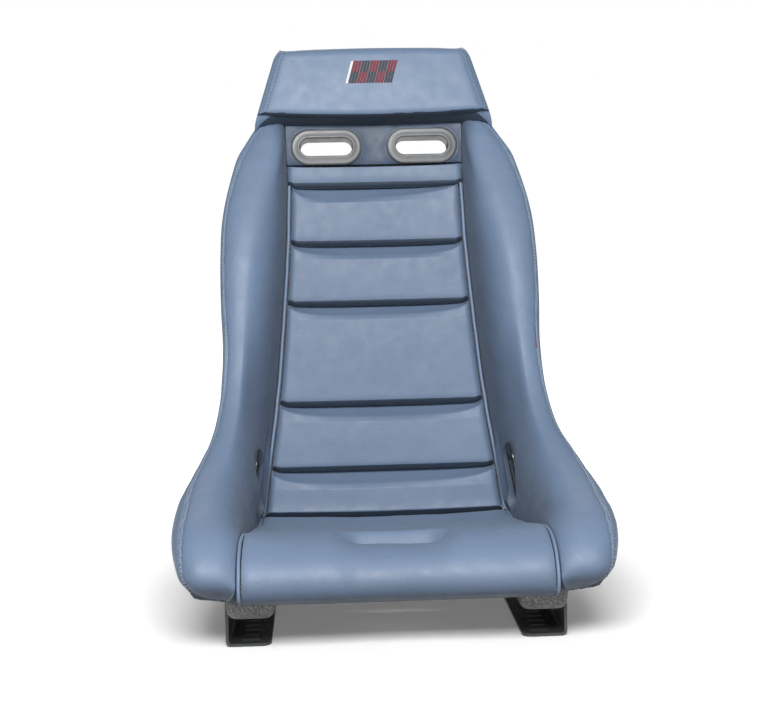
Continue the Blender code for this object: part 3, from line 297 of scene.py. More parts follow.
def thread_material(name, dark, light):
    """Twisted thread: fine slanted plies along each stitch."""
    made = Shader(name)
    twist = made.noise(2600.0, 2.0, 0.6)
    colour = made.colours(twist, (0.35, dark), (0.65, light))
    roughness = made.ranged(twist, 0.3, 0.7, 0.5, 0.68)
    made.set(Sheen_Weight=0.25)
    return made.finish(colour, roughness, made.bump(twist, 0.4, 0.0002))


def fabric_material(name, dark, light):
    """Woven fabric: crossed ribs of warp and weft."""
    made = Shader(name)
    ribs = []
    for direction in ("Z", "X"):
        wave = made.nodes.new("ShaderNodeTexWave")
        wave.inputs["Scale"].default_value = 520.0
        wave.bands_direction = direction
        made.join(made.place, wave.inputs["Vector"])
        ribs.append(wave.outputs["Fac"])
    weave = made.math("MULTIPLY", *ribs)
    colour = made.colours(weave, (0.1, dark), (0.8, light))
    roughness = made.ranged(weave, 0.0, 1.0, 0.6, 0.8)
    return made.finish(colour, roughness, made.bump(weave, 0.5, 0.0003))


# --- The bucket's form ---------------------------------------------------------------
# Sections from the front apron over the lip, along the pan and up the back, in mm:
# centre line (y, z), half-width of the piping line, rim (x, y, z), crest (x, y, z).
SECTIONS = np.array((
    (-262, 68, 203, 258, -250, 71, 236, -281, 72),
    (-251, 96, 203, 276, -262, 106, 246, -300, 117),
    (-212, 108, 201, 287, -228, 141, 252, -258, 163),
    (-125, 92, 199, 289, -148, 161, 251, -165, 191),
    (-20, 78, 196, 274, -62, 189, 237, -73, 224),
    (80, 69, 191, 249, 8, 236, 221, -2, 270),
    (146, 88, 188, 237, 57, 297, 213, 43, 325),
    (168, 165, 178, 234, 88, 364, 210, 66, 382),
    (192, 285, 161, 236, 108, 430, 209, 81, 440),
    (213, 405, 149, 236, 128, 497, 205, 100, 505),
    (232, 520, 140, 232, 156, 566, 196, 131, 572),
    (249, 630, 136, 216, 192, 638, 182, 172, 640),
    (262, 715, 136, 191, 226, 712, 166, 214, 700),
    (268, 772, 124, 172, 244, 774, 150, 240, 772),
    (270, 828, 112, 152, 250, 828, 136, 246, 828),
), dtype=float) / 1000.0
BELLY = 0.20
DISH = 0.006
LAST = float(len(SECTIONS) - 1)
HEEL = 5.62
BRACKET_FRONT = -0.212
SHIFT = np.array([0.0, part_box("bracket_right")[0].y - BRACKET_FRONT, 0.0])

STITCH_PITCH = 0.0052
PIPING_RADIUS = 0.003
PIPING_GAP = 0.0008
PIPING_SINK = 0.0022
PANEL_HEIGHTS = (0.102, 0.172, 0.272, 0.4275, 0.5215, 0.613, 0.6435)
PANEL_THICK = (0.030, 0.020)        # at the heel and at the top of the back
CUSHION_THICK = (0.044, 0.029)      # at the front lip and at the heel
YOKE_THICK = 0.017
YOKE_TOP = 0.710
SHELL_WALL = 0.0045
PAD_BASE = 0.0034
CUSHION_BASE = 0.0050
HARNESS_SLOT = (0.083, 0.028)
SLEEVE_ROOM = 0.0031                # past the slot's outline, for the bezel's sleeve
FLANGE_ROOM = 0.0151                # the same for the bezel's flange
HARNESS_SPACING = 0.152
HARNESS_HEIGHT = 0.673
LAP_SLOT_CENTRE = np.array([0.2005, 0.088, 0.160])
CROTCH_BOTTOM = (0.118, 0.036)
CROTCH_Y = -0.158


def spline(rows, t):
    """A smooth curve through rows at every t of an array."""
    last = len(rows) - 1
    t = np.asarray(t, dtype=float)
    i = np.clip(t.astype(int), 0, last - 1)
    f = (t - i)[..., None]
    b, c = rows[i], rows[i + 1]
    a = np.where((i > 0)[..., None], rows[np.maximum(i - 1, 0)], 2 * b - c)
    d = np.where((i + 2 <= last)[..., None], rows[np.minimum(i + 2, last)], 2 * c - b)
    return blend_four(a, b, c, d, f)


def blend_four(a, b, c, d, f):
    """The smooth curve through four points, at a share f of the way from b to c."""
    bend = (2 * a - 5 * b + 4 * c - d) * f ** 2
    return 0.5 * (2 * b + (c - a) * f + bend + (3 * b - a - 3 * c + d) * f ** 3)


def unit(vectors):
    return vectors / np.linalg.norm(vectors, axis=-1, keepdims=True)


def centre_point(u):
    row = spline(SECTIONS, u)
    return np.stack([np.zeros_like(row[..., 0]), row[..., 0], row[..., 1]], axis=-1)


def centre_normal(u):
    u = np.asarray(u, dtype=float)
    run = unit(centre_point(np.minimum(u + 0.05, LAST)) - centre_point(np.maximum(u - 0.05, 0.0)))
    return np.stack([np.zeros_like(u), -run[..., 2], run[..., 1]], axis=-1)


def surface(u, v):
    """The shell's inner surface; v is 0 on the centre, 1 at the piping, 3 at the rim."""
    u, v = np.broadcast_arrays(np.asarray(u, dtype=float), np.asarray(v, dtype=float))
    row = spline(SECTIONS, u)
    inward = centre_normal(u)
    side = np.zeros(row.shape[:-1] + (3,))
    side[..., 0] = 1.0
    middle = (centre_point(u) + side * (v * row[..., 2])[..., None]
              + DISH * (v * v)[..., None] * inward)
    seam = centre_point(u) + side * row[..., 2:3] + DISH * inward
    rim = row[..., 3:6]
    across = rim - seam
    outward = side - inward
    along = unit(across)
    outward = unit(outward - along * np.sum(outward * along, axis=-1, keepdims=True))
    size = np.linalg.norm(across, axis=-1, keepdims=True)
    wall = 0.5 * (seam + rim) + outward * BELLY * size
    leave = np.linalg.norm(wall - seam, axis=-1, keepdims=True) * unit(side + 0.25 * inward)
    before, after = wall - 2 * leave, 2 * rim - wall
    f = np.clip(v - 1.0, 0.0, 1.0)[..., None]
    g = np.clip(v - 2.0, 0.0, 1.0)[..., None]
    low = blend_four(before, seam, wall, rim, f)
    high = blend_four(seam, wall, rim, after, g)
    outer = np.where((v > 2.0)[..., None], high, low)
    return np.where((v > 1.0)[..., None], outer, middle)


def surface_normal(u, v):
    u, v = np.broadcast_arrays(np.asarray(u, dtype=float), np.asarray(v, dtype=float))
    along = surface(np.minimum(u + 0.03, LAST), v) - surface(np.maximum(u - 0.03, 0.0), v)
    left, right = np.maximum(v - 0.03, 1.0), np.minimum(np.maximum(v + 0.03, 1.03), 3.0)
    across = surface(u, right) - surface(u, left)
    outer = unit(np.cross(across, along))
    return np.where((v > 1.0)[..., None], outer, centre_normal(u))


def above(u, v, height):
    """Points at a height over the shell's inner surface; v < 0 is the left half."""
    u, v, height = np.broadcast_arrays(*(np.asarray(x, dtype=float) for x in (u, v, height)))
    point = surface(u, np.abs(v)) + height[..., None] * surface_normal(u, np.abs(v))
    point[..., 0] *= np.where(v < 0, -1.0, 1.0)
    return point


def u_at_height(z, height):
    low, high = HEEL, LAST
    for _ in range(40):
        middle = 0.5 * (low + high)
        if float(above(middle, 0.0, height)[2]) < z:
            low = middle
        else:
            high = middle
    return 0.5 * (low + high)


def half_width(u):
    return spline(SECTIONS, u)[..., 2]


def insert_edge(u):
    return 1.0 - (PIPING_RADIUS + PIPING_GAP) / half_width(u)


def widened(points, share):
    """Stretch a pad's grid sideways, from the piping's inner side to the bolsters."""
    wide = np.array(points)
    wide[..., 0] *= 1.0 + share * (2 * PIPING_RADIUS + 2 * PIPING_GAP - 0.001) / 0.132
    return wide


def pad_thick(u):
    u = np.asarray(u, dtype=float)
    low = u / HEEL
    high = (u - HEEL) / (LAST - HEEL)
    cushion = CUSHION_THICK[0] * (1 - low) + CUSHION_THICK[1] * low
    back = PANEL_THICK[0] * (1 - high) + PANEL_THICK[1] * high
    return np.where(u < HEEL, cushion, back)


def soft_edge(distance, radius):
    """0 at an edge and 1 once a rounded edge of this radius has been passed."""
    share = np.clip(np.asarray(distance) / radius, 0.0, 1.0)
    return np.sqrt(1.0 - (1.0 - share) ** 2)


def smooth_step(low, high, value):
    t = np.clip((value - low) / (high - low), 0.0, 1.0)
    return t * t * (3 - 2 * t)


def hill(value, centre, width):
    return np.exp(-((value - centre) / width) ** 2)


def ripple(points, length, seed, count=7):
    """Smooth seeded waves of about this length, between -1 and 1."""
    chance = np.random.default_rng(seed)
    total = np.zeros(points.shape[:-1])
    for _ in range(count):
        way = unit(chance.normal(size=3))
        turn = 2 * math.pi * chance.uniform(0.7, 1.4) / length
        total += np.sin(points @ way * turn + chance.uniform(0, 2 * math.pi))
    return total / math.sqrt(count * 2.0)


# --- Mesh building -------------------------------------------------------------------


def new_object(name, mesh, finish, angle=50.0):
    mesh.shade_smooth()
    mesh.set_sharp_from_angle(angle=math.radians(angle))
    made = bpy.data.objects.new(name, mesh)
    bpy.context.scene.collection.objects.link(made)
    mesh.materials.clear()
    mesh.materials.append(finish)
    return made


def mesh_of(name, verts, faces, shift=True):
    """A mesh with its faces turned outwards, moved to the frame's origin."""
    verts = np.asarray(verts, dtype=float).reshape(-1, 3)
    if shift:
        verts = verts + SHIFT
    mesh = bpy.data.meshes.new(name)
    mesh.from_pydata(verts.tolist(), [], faces)
    bm = bmesh.new()
    bm.from_mesh(mesh)
    bmesh.ops.recalc_face_normals(bm, faces=bm.faces)
    if bm.calc_volume(signed=True) < 0:
        bmesh.ops.reverse_faces(bm, faces=bm.faces)
    bm.to_mesh(mesh)
    bm.free()
    return mesh


def grid_faces(rows, columns, start=0, wrap_rows=False, wrap_columns=False):
    last_row = rows if wrap_rows else rows - 1
    last_column = columns if wrap_columns else columns - 1
    i, j = np.meshgrid(np.arange(last_row), np.arange(last_column), indexing="ij")
    n, m = (i + 1) % rows, (j + 1) % columns
    quads = np.stack([i * columns + j, i * columns + m, n * columns + m, n * columns + j], -1)
    return (quads.reshape(-1, 4) + start).tolist()


def border_of(rows, columns):
    """The numbers of a grid's outer points, once round."""
    border = [(0, j) for j in range(columns)] + [(i, columns - 1) for i in range(1, rows)]
    border += [(rows - 1, j) for j in range(columns - 2, -1, -1)]
    border += [(i, 0) for i in range(rows - 2, 0, -1)]
    return [i * columns + j for i, j in border]


def slab_mesh(name, base, top):
    """A closed body between two grids of the same size."""
    rows, columns = top.shape[:2]
    size = rows * columns
    faces = grid_faces(rows, columns) + grid_faces(rows, columns, size)
    index = border_of(rows, columns)
    for a, b in zip(index, index[1:] + index[:1]):
        faces.append([a, b, b + size, a + size])
    return mesh_of(name, np.concatenate([top.reshape(-1, 3), base.reshape(-1, 3)]), faces)


def ring_mesh(name, rings, closed=False):
    """A skin through closed rings; open ends get a fan."""
    rings = np.asarray(rings, dtype=float)
    rows, columns = rings.shape[:2]
    faces = grid_faces(rows, columns, 0, closed, True)
    verts = rings.reshape(-1, 3)
    if not closed:
        hubs = np.stack([rings[0].mean(0), rings[-1].mean(0)])
        verts = np.concatenate([verts, hubs])
        for row, hub in ((0, rows * columns), (rows - 1, rows * columns + 1)):
            for j in range(columns):
                faces.append([row * columns + j, row * columns + (j + 1) % columns, hub])
    return mesh_of(name, verts, faces)


def mirrored(mesh, name):
    twin = mesh.copy()
    twin.name = name
    twin.transform(Matrix.Scale(-1.0, 4, (1.0, 0.0, 0.0)))
    twin.flip_normals()
    return twin


def cut_with(target, meshes):
    """Take closed meshes out of a piece for good."""
    tools = []
    for number, mesh in enumerate(meshes):
        tool = bpy.data.objects.new(f"{target.name}_tool_{number}", mesh)
        bpy.context.scene.collection.objects.link(tool)
        step = target.modifiers.new("cut", "BOOLEAN")
        step.operation = "DIFFERENCE"
        step.solver = "EXACT"
        step.object = tool
        tools.append(tool)
    graph = bpy.context.evaluated_depsgraph_get()
    graph.update()
    mesh = bpy.data.meshes.new_from_object(target.evaluated_get(graph))
    target.modifiers.clear()
    target.data = mesh
    for tool in tools:
        bpy.data.objects.remove(tool)


def normals_of(grid):
    along = np.gradient(grid, axis=0)
    across = np.gradient(grid, axis=1)
    made = np.cross(across, along)
    size = np.linalg.norm(made, axis=-1, keepdims=True)
    return made / np.maximum(size, 1e-12)


def stadium(length, height, steps=12, side=1):
    radius = height / 2
    reach = length / 2 - radius
    points = []
    for centre, start in ((reach, -90.0), (-reach, 90.0)):
        for i in range(steps + 1):
            angle = math.radians(start + 180.0 * i / steps)
            points.append((centre + radius * math.cos(angle), radius * math.sin(angle)))
        for i in range(1, side):
            points.append((centre - 2 * centre * i / side, points[-1][1]))
    return np.array(points)


def placed(outline, place, depth):
    origin, side, rise, out = place
    return origin + outline[:, :1] * side + outline[:, 1:] * rise + depth * out


def prism(name, slot, growth, place, back, front):
    outline = stadium(slot[0] + 2 * growth, slot[1] + 2 * growth)
    return ring_mesh(name, [placed(outline, place, back), placed(outline, place, front)])


def bezel_cuts(place, back):
    """What a slot bezel's sleeve and flange take out of a pad."""
    return [prism("hole", HARNESS_SLOT, SLEEVE_ROOM, place, back, 0.03),
            prism("seat", HARNESS_SLOT, FLANGE_ROOM, place, 0.0, 0.03)]


def show(piece, body, nodes):
    """Ride a finished piece on its body in place of the CAD nodes it stands for."""
    if nodes:
        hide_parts(*nodes)
    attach(piece, body)
    return piece


def show_pair(stem, end, mesh, finish, body, nodes, angle=50.0):
    """Show a mesh as the right piece and its mirror image as the left one."""
    right = new_object(f"{stem}_right{end}", mesh, finish, angle)
    left_name = f"{stem}_left{end}"
    left = new_object(left_name, mirrored(mesh, left_name), finish, angle)
    show(right, body, [f"{nodes}_right"])
    show(left, body, [f"{nodes}_left"])


def polyline(points, spacing):
    """Points along a line at an even spacing, and the directions there."""
    steps = np.linalg.norm(np.diff(points, axis=0), axis=1)
    reach = np.concatenate([[0.0], np.cumsum(steps)])
    count = max(int(reach[-1] / spacing), 1)
    at = (np.arange(count) + 0.5) * reach[-1] / count
    found = np.stack([np.interp(at, reach, points[:, k]) for k in range(3)], axis=-1)
    ahead = np.stack([np.interp(at + spacing * 0.2, reach, points[:, k]) for k in range(3)], -1)
    back = np.stack([np.interp(at - spacing * 0.2, reach, points[:, k]) for k in range(3)], -1)
    return found, unit(ahead - back)


def stitch_run(line, outward, spacing):
    """Stitches along a line of points that has outward directions, for stitches()."""
    line, outward = np.array(line), np.array(outward)
    centres, ways = polyline(line, spacing)
    nearest = np.argmin(np.linalg.norm(line[None] - centres[:, None], axis=-1), axis=1)
    return centres + outward[nearest] * 0.0003, ways, unit(outward[nearest])


def stitches(name, runs, length, radius, shift=True):
    """Short round threads with sunk ends; runs are (points, directions, outward)."""
    shape = ((-0.5, 0.35, -0.9), (-0.34, 0.85, -0.2), (-0.12, 1.0, 0.25), (0.12, 1.0, 0.25),
             (0.34, 0.85, -0.2), (0.5, 0.35, -0.9))
    around = 7
    verts, faces = [], []
    for centres, ways, outs in runs:
        for centre, way, out in zip(centres, ways, outs):
            out = out - way * np.dot(out, way)
            out = out / np.linalg.norm(out)
            side = np.cross(way, out)
            start = len(verts)
            for along, girth, lift in shape:
                middle = centre + way * along * length + out * lift * radius
                for k in range(around):
                    angle = 2 * math.pi * k / around
                    spoke = side * math.cos(angle) + out * math.sin(angle)
                    verts.append(middle + spoke * radius * girth)
            faces += grid_faces(len(shape), around, start, False, True)
            faces.append([start + k for k in range(around)][::-1])
            faces.append([start + (len(shape) - 1) * around + k for k in range(around)])
    return mesh_of(name, verts, faces, shift)


def tube(name, points, radius, sides):
    """A round cord along points, closed at both ends."""
    points = np.asarray(points)
    way = unit(np.gradient(points, axis=0))
    side = np.zeros_like(points)
    side[:, 0] = 1.0
    side = unit(side - way * np.sum(side * way, axis=1, keepdims=True))
    rise = np.cross(way, side)
    angles = 2 * math.pi * np.arange(sides) / sides
    rings = (points[:, None, :] + radius
             * (side[:, None, :] * np.cos(angles)[None, :, None]
                + rise[:, None, :] * np.sin(angles)[None, :, None]))
    return ring_mesh(name, rings)


WALL_SHADE = 0.62           # the most painted shade on the bolsters' inner walls
FRONT_SHADE = 0.55          # the most painted shade on the lower front
FRONT_Y = -0.15


def paint_shade(piece, amount):
    """Store painted shade on each vertex: how far its leather is darkened, from 0 to 1.

    It stands in for shadow and is part of the base colour; amount takes (n, 3) places.
    """
    mesh = piece.data
    places = np.empty(len(mesh.vertices) * 3)
    mesh.vertices.foreach_get("co", places)
    values = np.clip(amount(places.reshape(-1, 3) - SHIFT), 0.0, 1.0)
    layer = mesh.attributes.new("shade", "FLOAT", "POINT")
    layer.data.foreach_set("value", values.astype(np.float32))


def wall_shade(places):
    """Darker towards the inner feet of the bolsters."""
    us = np.linspace(0.5, 12.0, 120)
    crest, foot = spline(SECTIONS, us)[:, 6:9], above(us, 1.0, pad_thick(us) * 0.7)
    x = np.abs(places[:, 0])
    best = np.full(len(places), 9.0)
    share = np.zeros(len(places))
    for c, f, u in zip(crest, foot, us):
        across = f - c
        t = (places[:, 1:] - c[1:]) @ across[1:] + (x - c[0]) * across[0]
        t = t / float(across @ across)
        along = np.stack([x, places[:, 1], places[:, 2]], axis=1) - c - t[:, None] * across
        gap = np.linalg.norm(along, axis=1)
        near = gap < best
        best = np.where(near, gap, best)
        share = np.where(near, t * float(smooth_step(1.2, 3.0, u)), share)
    return WALL_SHADE * smooth_step(0.12, 0.75, share)


def front_shade(places):
    """Darker on the roll's lower front."""
    low = 1.0 - smooth_step(0.086, 0.124, places[:, 2])
    return FRONT_SHADE * low * (places[:, 1] < FRONT_Y)


# --- Shell ---------------------------------------------------------------------------


def crotch_place():
    low, high = 1.0, HEEL
    for _ in range(40):
        middle = 0.5 * (low + high)
        if float(centre_point(middle)[1]) < CROTCH_Y:
            low = middle
        else:
            high = middle
    out = centre_normal(middle)
    side = np.array([1.0, 0.0, 0.0])
    return centre_point(middle), side, np.cross(out, side), out


def harness_place():
    u = u_at_height(HARNESS_HEIGHT, YOKE_THICK)
    v = HARNESS_SPACING / 2 / float(half_width(u))
    out = surface_normal(u, v)
    side = -unit(np.cross(out, np.array([0.0, 0.0, 1.0])))
    return surface(u, v) + YOKE_THICK * out, side, np.cross(out, side), out


def lap_place():
    dip, lean = math.radians(10.0), math.radians(8.0)
    out = np.array([-math.cos(dip), 0.0, -math.sin(dip)])
    upright = np.array([-math.sin(dip), 0.0, math.cos(dip)])
    long_side = upright * math.cos(lean) + np.array([0.0, math.sin(lean), 0.0])
    return LAP_SLOT_CENTRE, long_side, np.cross(out, long_side), out


def flipped(place):
    """The same place on the left half."""
    return tuple(p * np.array([-1.0, 1.0, 1.0]) for p in place)


def rim_place(us):
    """Where the rim lies across the seat: it tucks in behind the headrest."""
    return 3.0 - 0.52 * smooth_step(11.2, 12.0, us)


def make_shell():
    us = np.linspace(0.0, LAST, 197)
    vs = np.concatenate([np.linspace(0.0, 1.0, 11), np.linspace(1.0, 3.0, 27)[1:]])
    tuck = (rim_place(us)[:, None] - 1.0) / 2.0
    spread = np.where(vs > 1.0, 1.0 + (vs - 1.0) * tuck, vs + 0 * tuck)
    start = 0.26 * smooth_step(1.0, 2.2, spread) * (1 - smooth_step(0.0, 1.5, us))[:, None]
    right = surface(us[:, None] + start, spread)
    left = right[:, :0:-1] * np.array([-1.0, 1.0, 1.0])
    sheet = np.concatenate([left, right], axis=1)
    normal = normals_of(sheet)
    middle = normal[:, len(left[0]):len(left[0]) + 1]
    if float(np.mean(middle[..., 1])) > 0:
        normal = -normal
    mesh = slab_mesh("shell_skin", sheet - normal * SHELL_WALL, sheet)
    shell = new_object("shell_skin", mesh, GELCOAT, 40.0)
    holes = [prism("hole", CROTCH_BOTTOM, 0.0006, crotch_place(), -0.03, 0.03)]
    for place in (harness_place(), lap_place()):
        for where in (place, flipped(place)):
            holes.append(prism("hole", HARNESS_SLOT, SLEEVE_ROOM, where, -0.09, 0.03))
    cut_with(shell, holes)
    shell.data.set_sharp_from_angle(angle=math.radians(40.0))
    sectors = [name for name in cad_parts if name.startswith("shell")]
    show(shell, "seat_frame", sectors)


# --- Back panels and yoke ------------------------------------------------------------

FOOT_LENGTH = 0.0108        # a panel's rolled underside
FOOT_HANG = 0.0052          # how far it hangs over the panel below
FOOT_SHADOW_ROWS = 12              # its rows in darker leather: painted shadow under the rolled underside
STITCH_ROW = 5              # its row that carries the seam's stitches
# per panel from the lowest: slope length, crescent's share of it, skew across the seat
SLOPES = ((0.024, 0.70, 0.10), (0.030, 0.72, -0.06), (0.029, 0.72, 0.05), (0.028, 0.80, -0.04),
          (0.030, 0.76, 0.42), (0.004, 0.5, 0.0))
CORD_GAP = 0.0009           # dark line between the pads and the piping
FOOT_LOWER = 0.005          # the lowest panel's foot runs down behind the cushion


def panel_columns(count=64):
    across = np.linspace(-1.0, 1.0, count + 1)
    return np.sign(across) * np.abs(across) ** 0.8


def make_back_panel(index):
    low_z, high_z = PANEL_HEIGHTS[index], PANEL_HEIGHTS[index + 1]
    if index == 0:
        low_z -= FOOT_LOWER
    u_low = u_at_height(low_z + 0.0005, PANEL_THICK[0] * 0.5)
    u_high = u_at_height(high_z - 0.0005, PANEL_THICK[0] * 0.5)
    height = high_z - low_z - 0.0008
    per_u = height / (u_high - u_low)
    slope, share, skew = SLOPES[index]
    a = panel_columns()[None, :]
    # foot: a tight roll that hangs a little over the seam
    turn = np.linspace(0.0, 1.0, 17)[:, None]
    hang = FOOT_HANG * smooth_step(0.0, 0.08, 1.0 - np.abs(a))
    rolled = -hang + (FOOT_LENGTH + hang) * ((turn - 0.25) / 0.75) ** 2
    s_foot = np.where(turn < 0.25, -hang * (1.0 - (1.0 - turn / 0.25) ** 2), rolled)
    h_foot = 0.12 + 0.88 * (1.0 - (1.0 - turn) ** 2.3) + 0 * a
    # face
    bend = height - slope
    s_face = np.linspace(FOOT_LENGTH, bend, max(int((bend - FOOT_LENGTH) / 0.0024), 6))
    s_face = s_face[1:, None] + 0 * a
    h_face = np.ones_like(s_face)
    # soft slope from the face's upper fold to the crescent's lip
    taper = np.sqrt(np.clip(1.0 - np.abs(a) ** 3.2, 0.0, 1.0))
    lip = slope * share * taper * (1.0 - skew * a) + 0.0012
    lip = np.minimum(lip, slope * 0.96)
    q = np.linspace(0.0, 1.0, 8)[1:, None]
    s_soft = bend + q * (slope - lip)
    h_soft = 1.0 - 0.10 * q ** 1.4 * taper + 0.012 * hill(q, 0.0, 0.18)
    # crescent from its lip down into the seam above
    w = np.linspace(0.0, 1.0, 13)[1:, None]
    s_cres = height - lip * (1.0 - w)
    fall = 0.70 - 0.12 * (1 - taper)
    h_cres = (1.0 - 0.10 * taper - fall * (1.0 - (1.0 - w) ** 1.35)
              + 0.05 * taper * hill(w, 0.0, 0.14))
    s = np.concatenate([s_foot, s_face, s_soft, s_cres])
    h = np.concatenate([h_foot, h_face, h_soft, h_cres])
    u = u_low + s / per_u
    top_panel = index == len(PANEL_HEIGHTS) - 2
    edge = insert_edge(u) - CORD_GAP / half_width(u)
    full = pad_thick(u)
    side = soft_edge((1.0 - np.abs(a)) * half_width(u) + 0.0012, 0.011)
    rise = full * h * (0.985 + 0.015 * side) - 0.0100 * (1 - side)
    crown = np.clip(np.sin(np.pi * np.clip(s / height, 0, 1)), 0, 1)
    rise = rise + 0.0016 * (1 - a ** 2) * crown * side
    points = above(u, a * edge, rise)
    gather = ripple(points * np.array([1.0, 0.3, 0.25]), 0.017, 40 + index)
    near_foot = np.exp(-np.clip(s - 0.004, 0, None) / 0.009) * (s > 0.001)
    near_head = np.exp(-np.clip(height - slope * 0.75 - s, 0, None) / 0.008)
    puff = ripple(points, 0.055, 80 + index)
    rise = rise + side * (0.00026 * gather * (near_foot + 0.8 * near_head) + 0.00034 * puff * h)
    top = above(u, a * edge, rise)
    base = above(u, a * edge, PAD_BASE + 0 * rise)
    base[0] = above(u_low + 0 * u[0], a[0] * edge[0], PAD_BASE + 0 * rise[0])
    top, base = widened(top, float(top_panel)), widened(base, float(top_panel))
    number = len(PANEL_HEIGHTS) - 1 - index
    mesh = slab_mesh(f"back_panel_{number}_cover", base, top)
    # the panels' darker leather is painted shade deep in the bucket
    panel = new_object(f"back_panel_{number}_cover", mesh, LEATHER_PANEL_SHADED)
    # painted shadow: near-black leather on the lower rows of the rolled underside
    mesh.materials.append(LEATHER_PAINTED_SHADOW)
    columns = top.shape[1] - 1
    for polygon in list(mesh.polygons)[:FOOT_SHADOW_ROWS * columns]:
        polygon.material_index = 1
    show(panel, "seat_frame", [f"back_panel_{number}"])
    return top[STITCH_ROW]


def make_yoke():
    low_z, high_z = PANEL_HEIGHTS[-1] + 0.001, YOKE_TOP
    u_low = u_at_height(low_z, YOKE_THICK * 0.5)
    u_high = u_at_height(high_z, YOKE_THICK * 0.5)
    t = np.linspace(0.0, 1.0, 34)[:, None]
    a = panel_columns(80)[None, :]
    u = u_low + (u_high - u_low) * t + 0 * a
    ends = soft_edge(np.minimum(t, 1 - t) * 0.06 + 0.002, 0.012)
    place = harness_place()
    flat = widened(above(u, a * insert_edge(u), YOKE_THICK + 0 * u), 1.0)
    around = np.zeros_like(u)
    for where in (place, flipped(place)):
        local = flat - where[0]
        x, y = np.abs(local @ where[1]), np.abs(local @ where[2])
        reach = HARNESS_SLOT[0] / 2 - HARNESS_SLOT[1] / 2
        gap = np.hypot(np.clip(x - reach, 0, None), y) - HARNESS_SLOT[1] / 2
        around = np.maximum(around, hill(np.clip(gap - 0.0145, 0, None), 0.0, 0.006))
    dip = 0.0016 * (1 - around) + 0.0012 * hill(np.abs(a), 0.0, 0.2)
    rise = YOKE_THICK * (0.74 + 0.26 * ends) - dip + 0.0003 * ripple(flat, 0.03, 12)
    rise = np.minimum(rise, YOKE_THICK)
    top = widened(above(u, a * insert_edge(u), rise), 1.0)
    base = widened(above(u, a * insert_edge(u), PAD_BASE + 0 * rise), 1.0)
    # the yoke's much darker leather is painted shadow from the headrest's overhang
    yoke = new_object("yoke_cover", slab_mesh("yoke_cover", base, top), LEATHER_YOKE_SHADED)
    cut_with(yoke, bezel_cuts(place, -0.05) + bezel_cuts(flipped(place), -0.05))
    show(yoke, "seat_frame", ["slot_panel"])


# --- Side bolsters -------------------------------------------------------------------

BOLSTER_FRONT = 0.22
BOLSTER_TOP = 12.05
HEM_START, HEM_END = 0.45, 11.3     # where the hem's stitching starts and ends
RIM_REVEAL = 0.0016


def arc_between(start, crest, steps, fullness=0.85):
    """Quarter ellipses from the start line to the crest line, one per section."""
    lean = np.zeros_like(crest)
    lean[..., 0] = (crest - start)[..., 0]
    climb = crest - start - lean
    angle = 0.5 * math.pi * np.linspace(0.0, 1.0, steps + 1)[:-1]
    across = (1.0 - np.cos(angle) ** fullness)[None, :, None]
    forward = (np.sin(angle) ** fullness)[None, :, None]
    return start[:, None] + lean[:, None] * across + climb[:, None] * forward


def bolster_sections():
    """Sections along the bolster, closer together at its ends."""
    return np.concatenate([np.linspace(BOLSTER_FRONT, HEM_START, 16)[:-1],
                           np.linspace(HEM_START, HEM_END, 230)[:-1],
                           np.linspace(HEM_END, BOLSTER_TOP, 22)])


def make_bolster(side):
    us = bolster_sections()
    u1 = us[:, None]
    foot_share = (PIPING_RADIUS + PIPING_GAP) * 0.05
    near = 1.0 + foot_share / np.linalg.norm(surface(us, 1.05) - surface(us, 1.0), axis=-1)
    rim_width = np.linalg.norm(surface(us, 3.0) - surface(us, 2.9), axis=-1) / 0.1
    far = rim_place(us) - RIM_REVEAL / rim_width
    share = np.linspace(0.0, 1.0, 17)[None, :]
    base = above(u1, near[:, None] + (far - near)[:, None] * share, 0.0034)
    beside = np.array([PIPING_RADIUS + PIPING_GAP, 0.0, 0.0])
    base[:, 0] = above(us, 1.0, 0.0034) + beside
    drop = np.where(us < HEEL, 0.006, 0.007)
    seam_side = above(us, 1.0, pad_thick(us) - drop) + beside
    edge_v = rim_place(us)
    rim, past = surface(us, edge_v), unit(surface(us, edge_v) - surface(us, edge_v - 0.1))
    out = surface_normal(us, edge_v)
    tip = rim + past * 0.0010 + out * 0.0010
    rim_side = rim + past * 0.0018 - out * (SHELL_WALL + 0.0010)
    crest = spline(SECTIONS, us)[:, 6:9]
    wall = arc_between(seam_side, crest, 44)
    outer = arc_between(rim_side, crest, 26)
    outline = np.concatenate([outer, crest[:, None], wall[:, ::-1]], axis=1)
    low = soft_edge(us - BOLSTER_FRONT + 0.04, 0.5)
    high = soft_edge(BOLSTER_TOP - us + 0.10, 0.45)
    ends = np.minimum(low, high)[:, None, None]
    middle = base[:, 8:9]
    outline = middle + (outline - middle) * ends
    base = middle + (base - middle) * (0.6 + 0.4 * ends)
    outline = outline + bolster_relief(us, outline, side)
    rings = np.concatenate([base, tip[:, None], outline], axis=1)
    name = f"side_bolster_{side}_cover"
    piece = new_object(name, ring_mesh(name, rings), LEATHER)
    cut_with(piece, bezel_cuts(lap_place(), -0.09))
    piece.data.set_sharp_from_angle(angle=math.radians(50.0))
    if side == "left":
        piece.data = mirrored(piece.data, name)
    paint_shade(piece, lambda p: np.maximum(wall_shade(p), front_shade(p)))
    show(piece, "seat_frame", [f"side_bolster_{side}"])
    hem_stitches(us, outline, side)


def hem_distance(us):
    """How far the hem's stitching runs from the bolster's outer edge."""
    return 0.0210 + 0.020 * hill(us, 2.6, 2.2) - 0.003 * smooth_step(8.0, 11.0, us)


def travel_and_normals(outline):
    """The way along each section from its outer edge, and the outward directions."""
    reach = np.linalg.norm(np.diff(outline, axis=1), axis=-1)
    travel = np.concatenate([np.zeros((len(outline), 1)), np.cumsum(reach, axis=1)], axis=1)
    normal = normals_of(outline)
    inside = outline.mean(axis=1, keepdims=True)
    if float(np.mean(np.sum(normal * (outline - inside), axis=-1))) < 0:
        normal = -normal
    return travel, normal


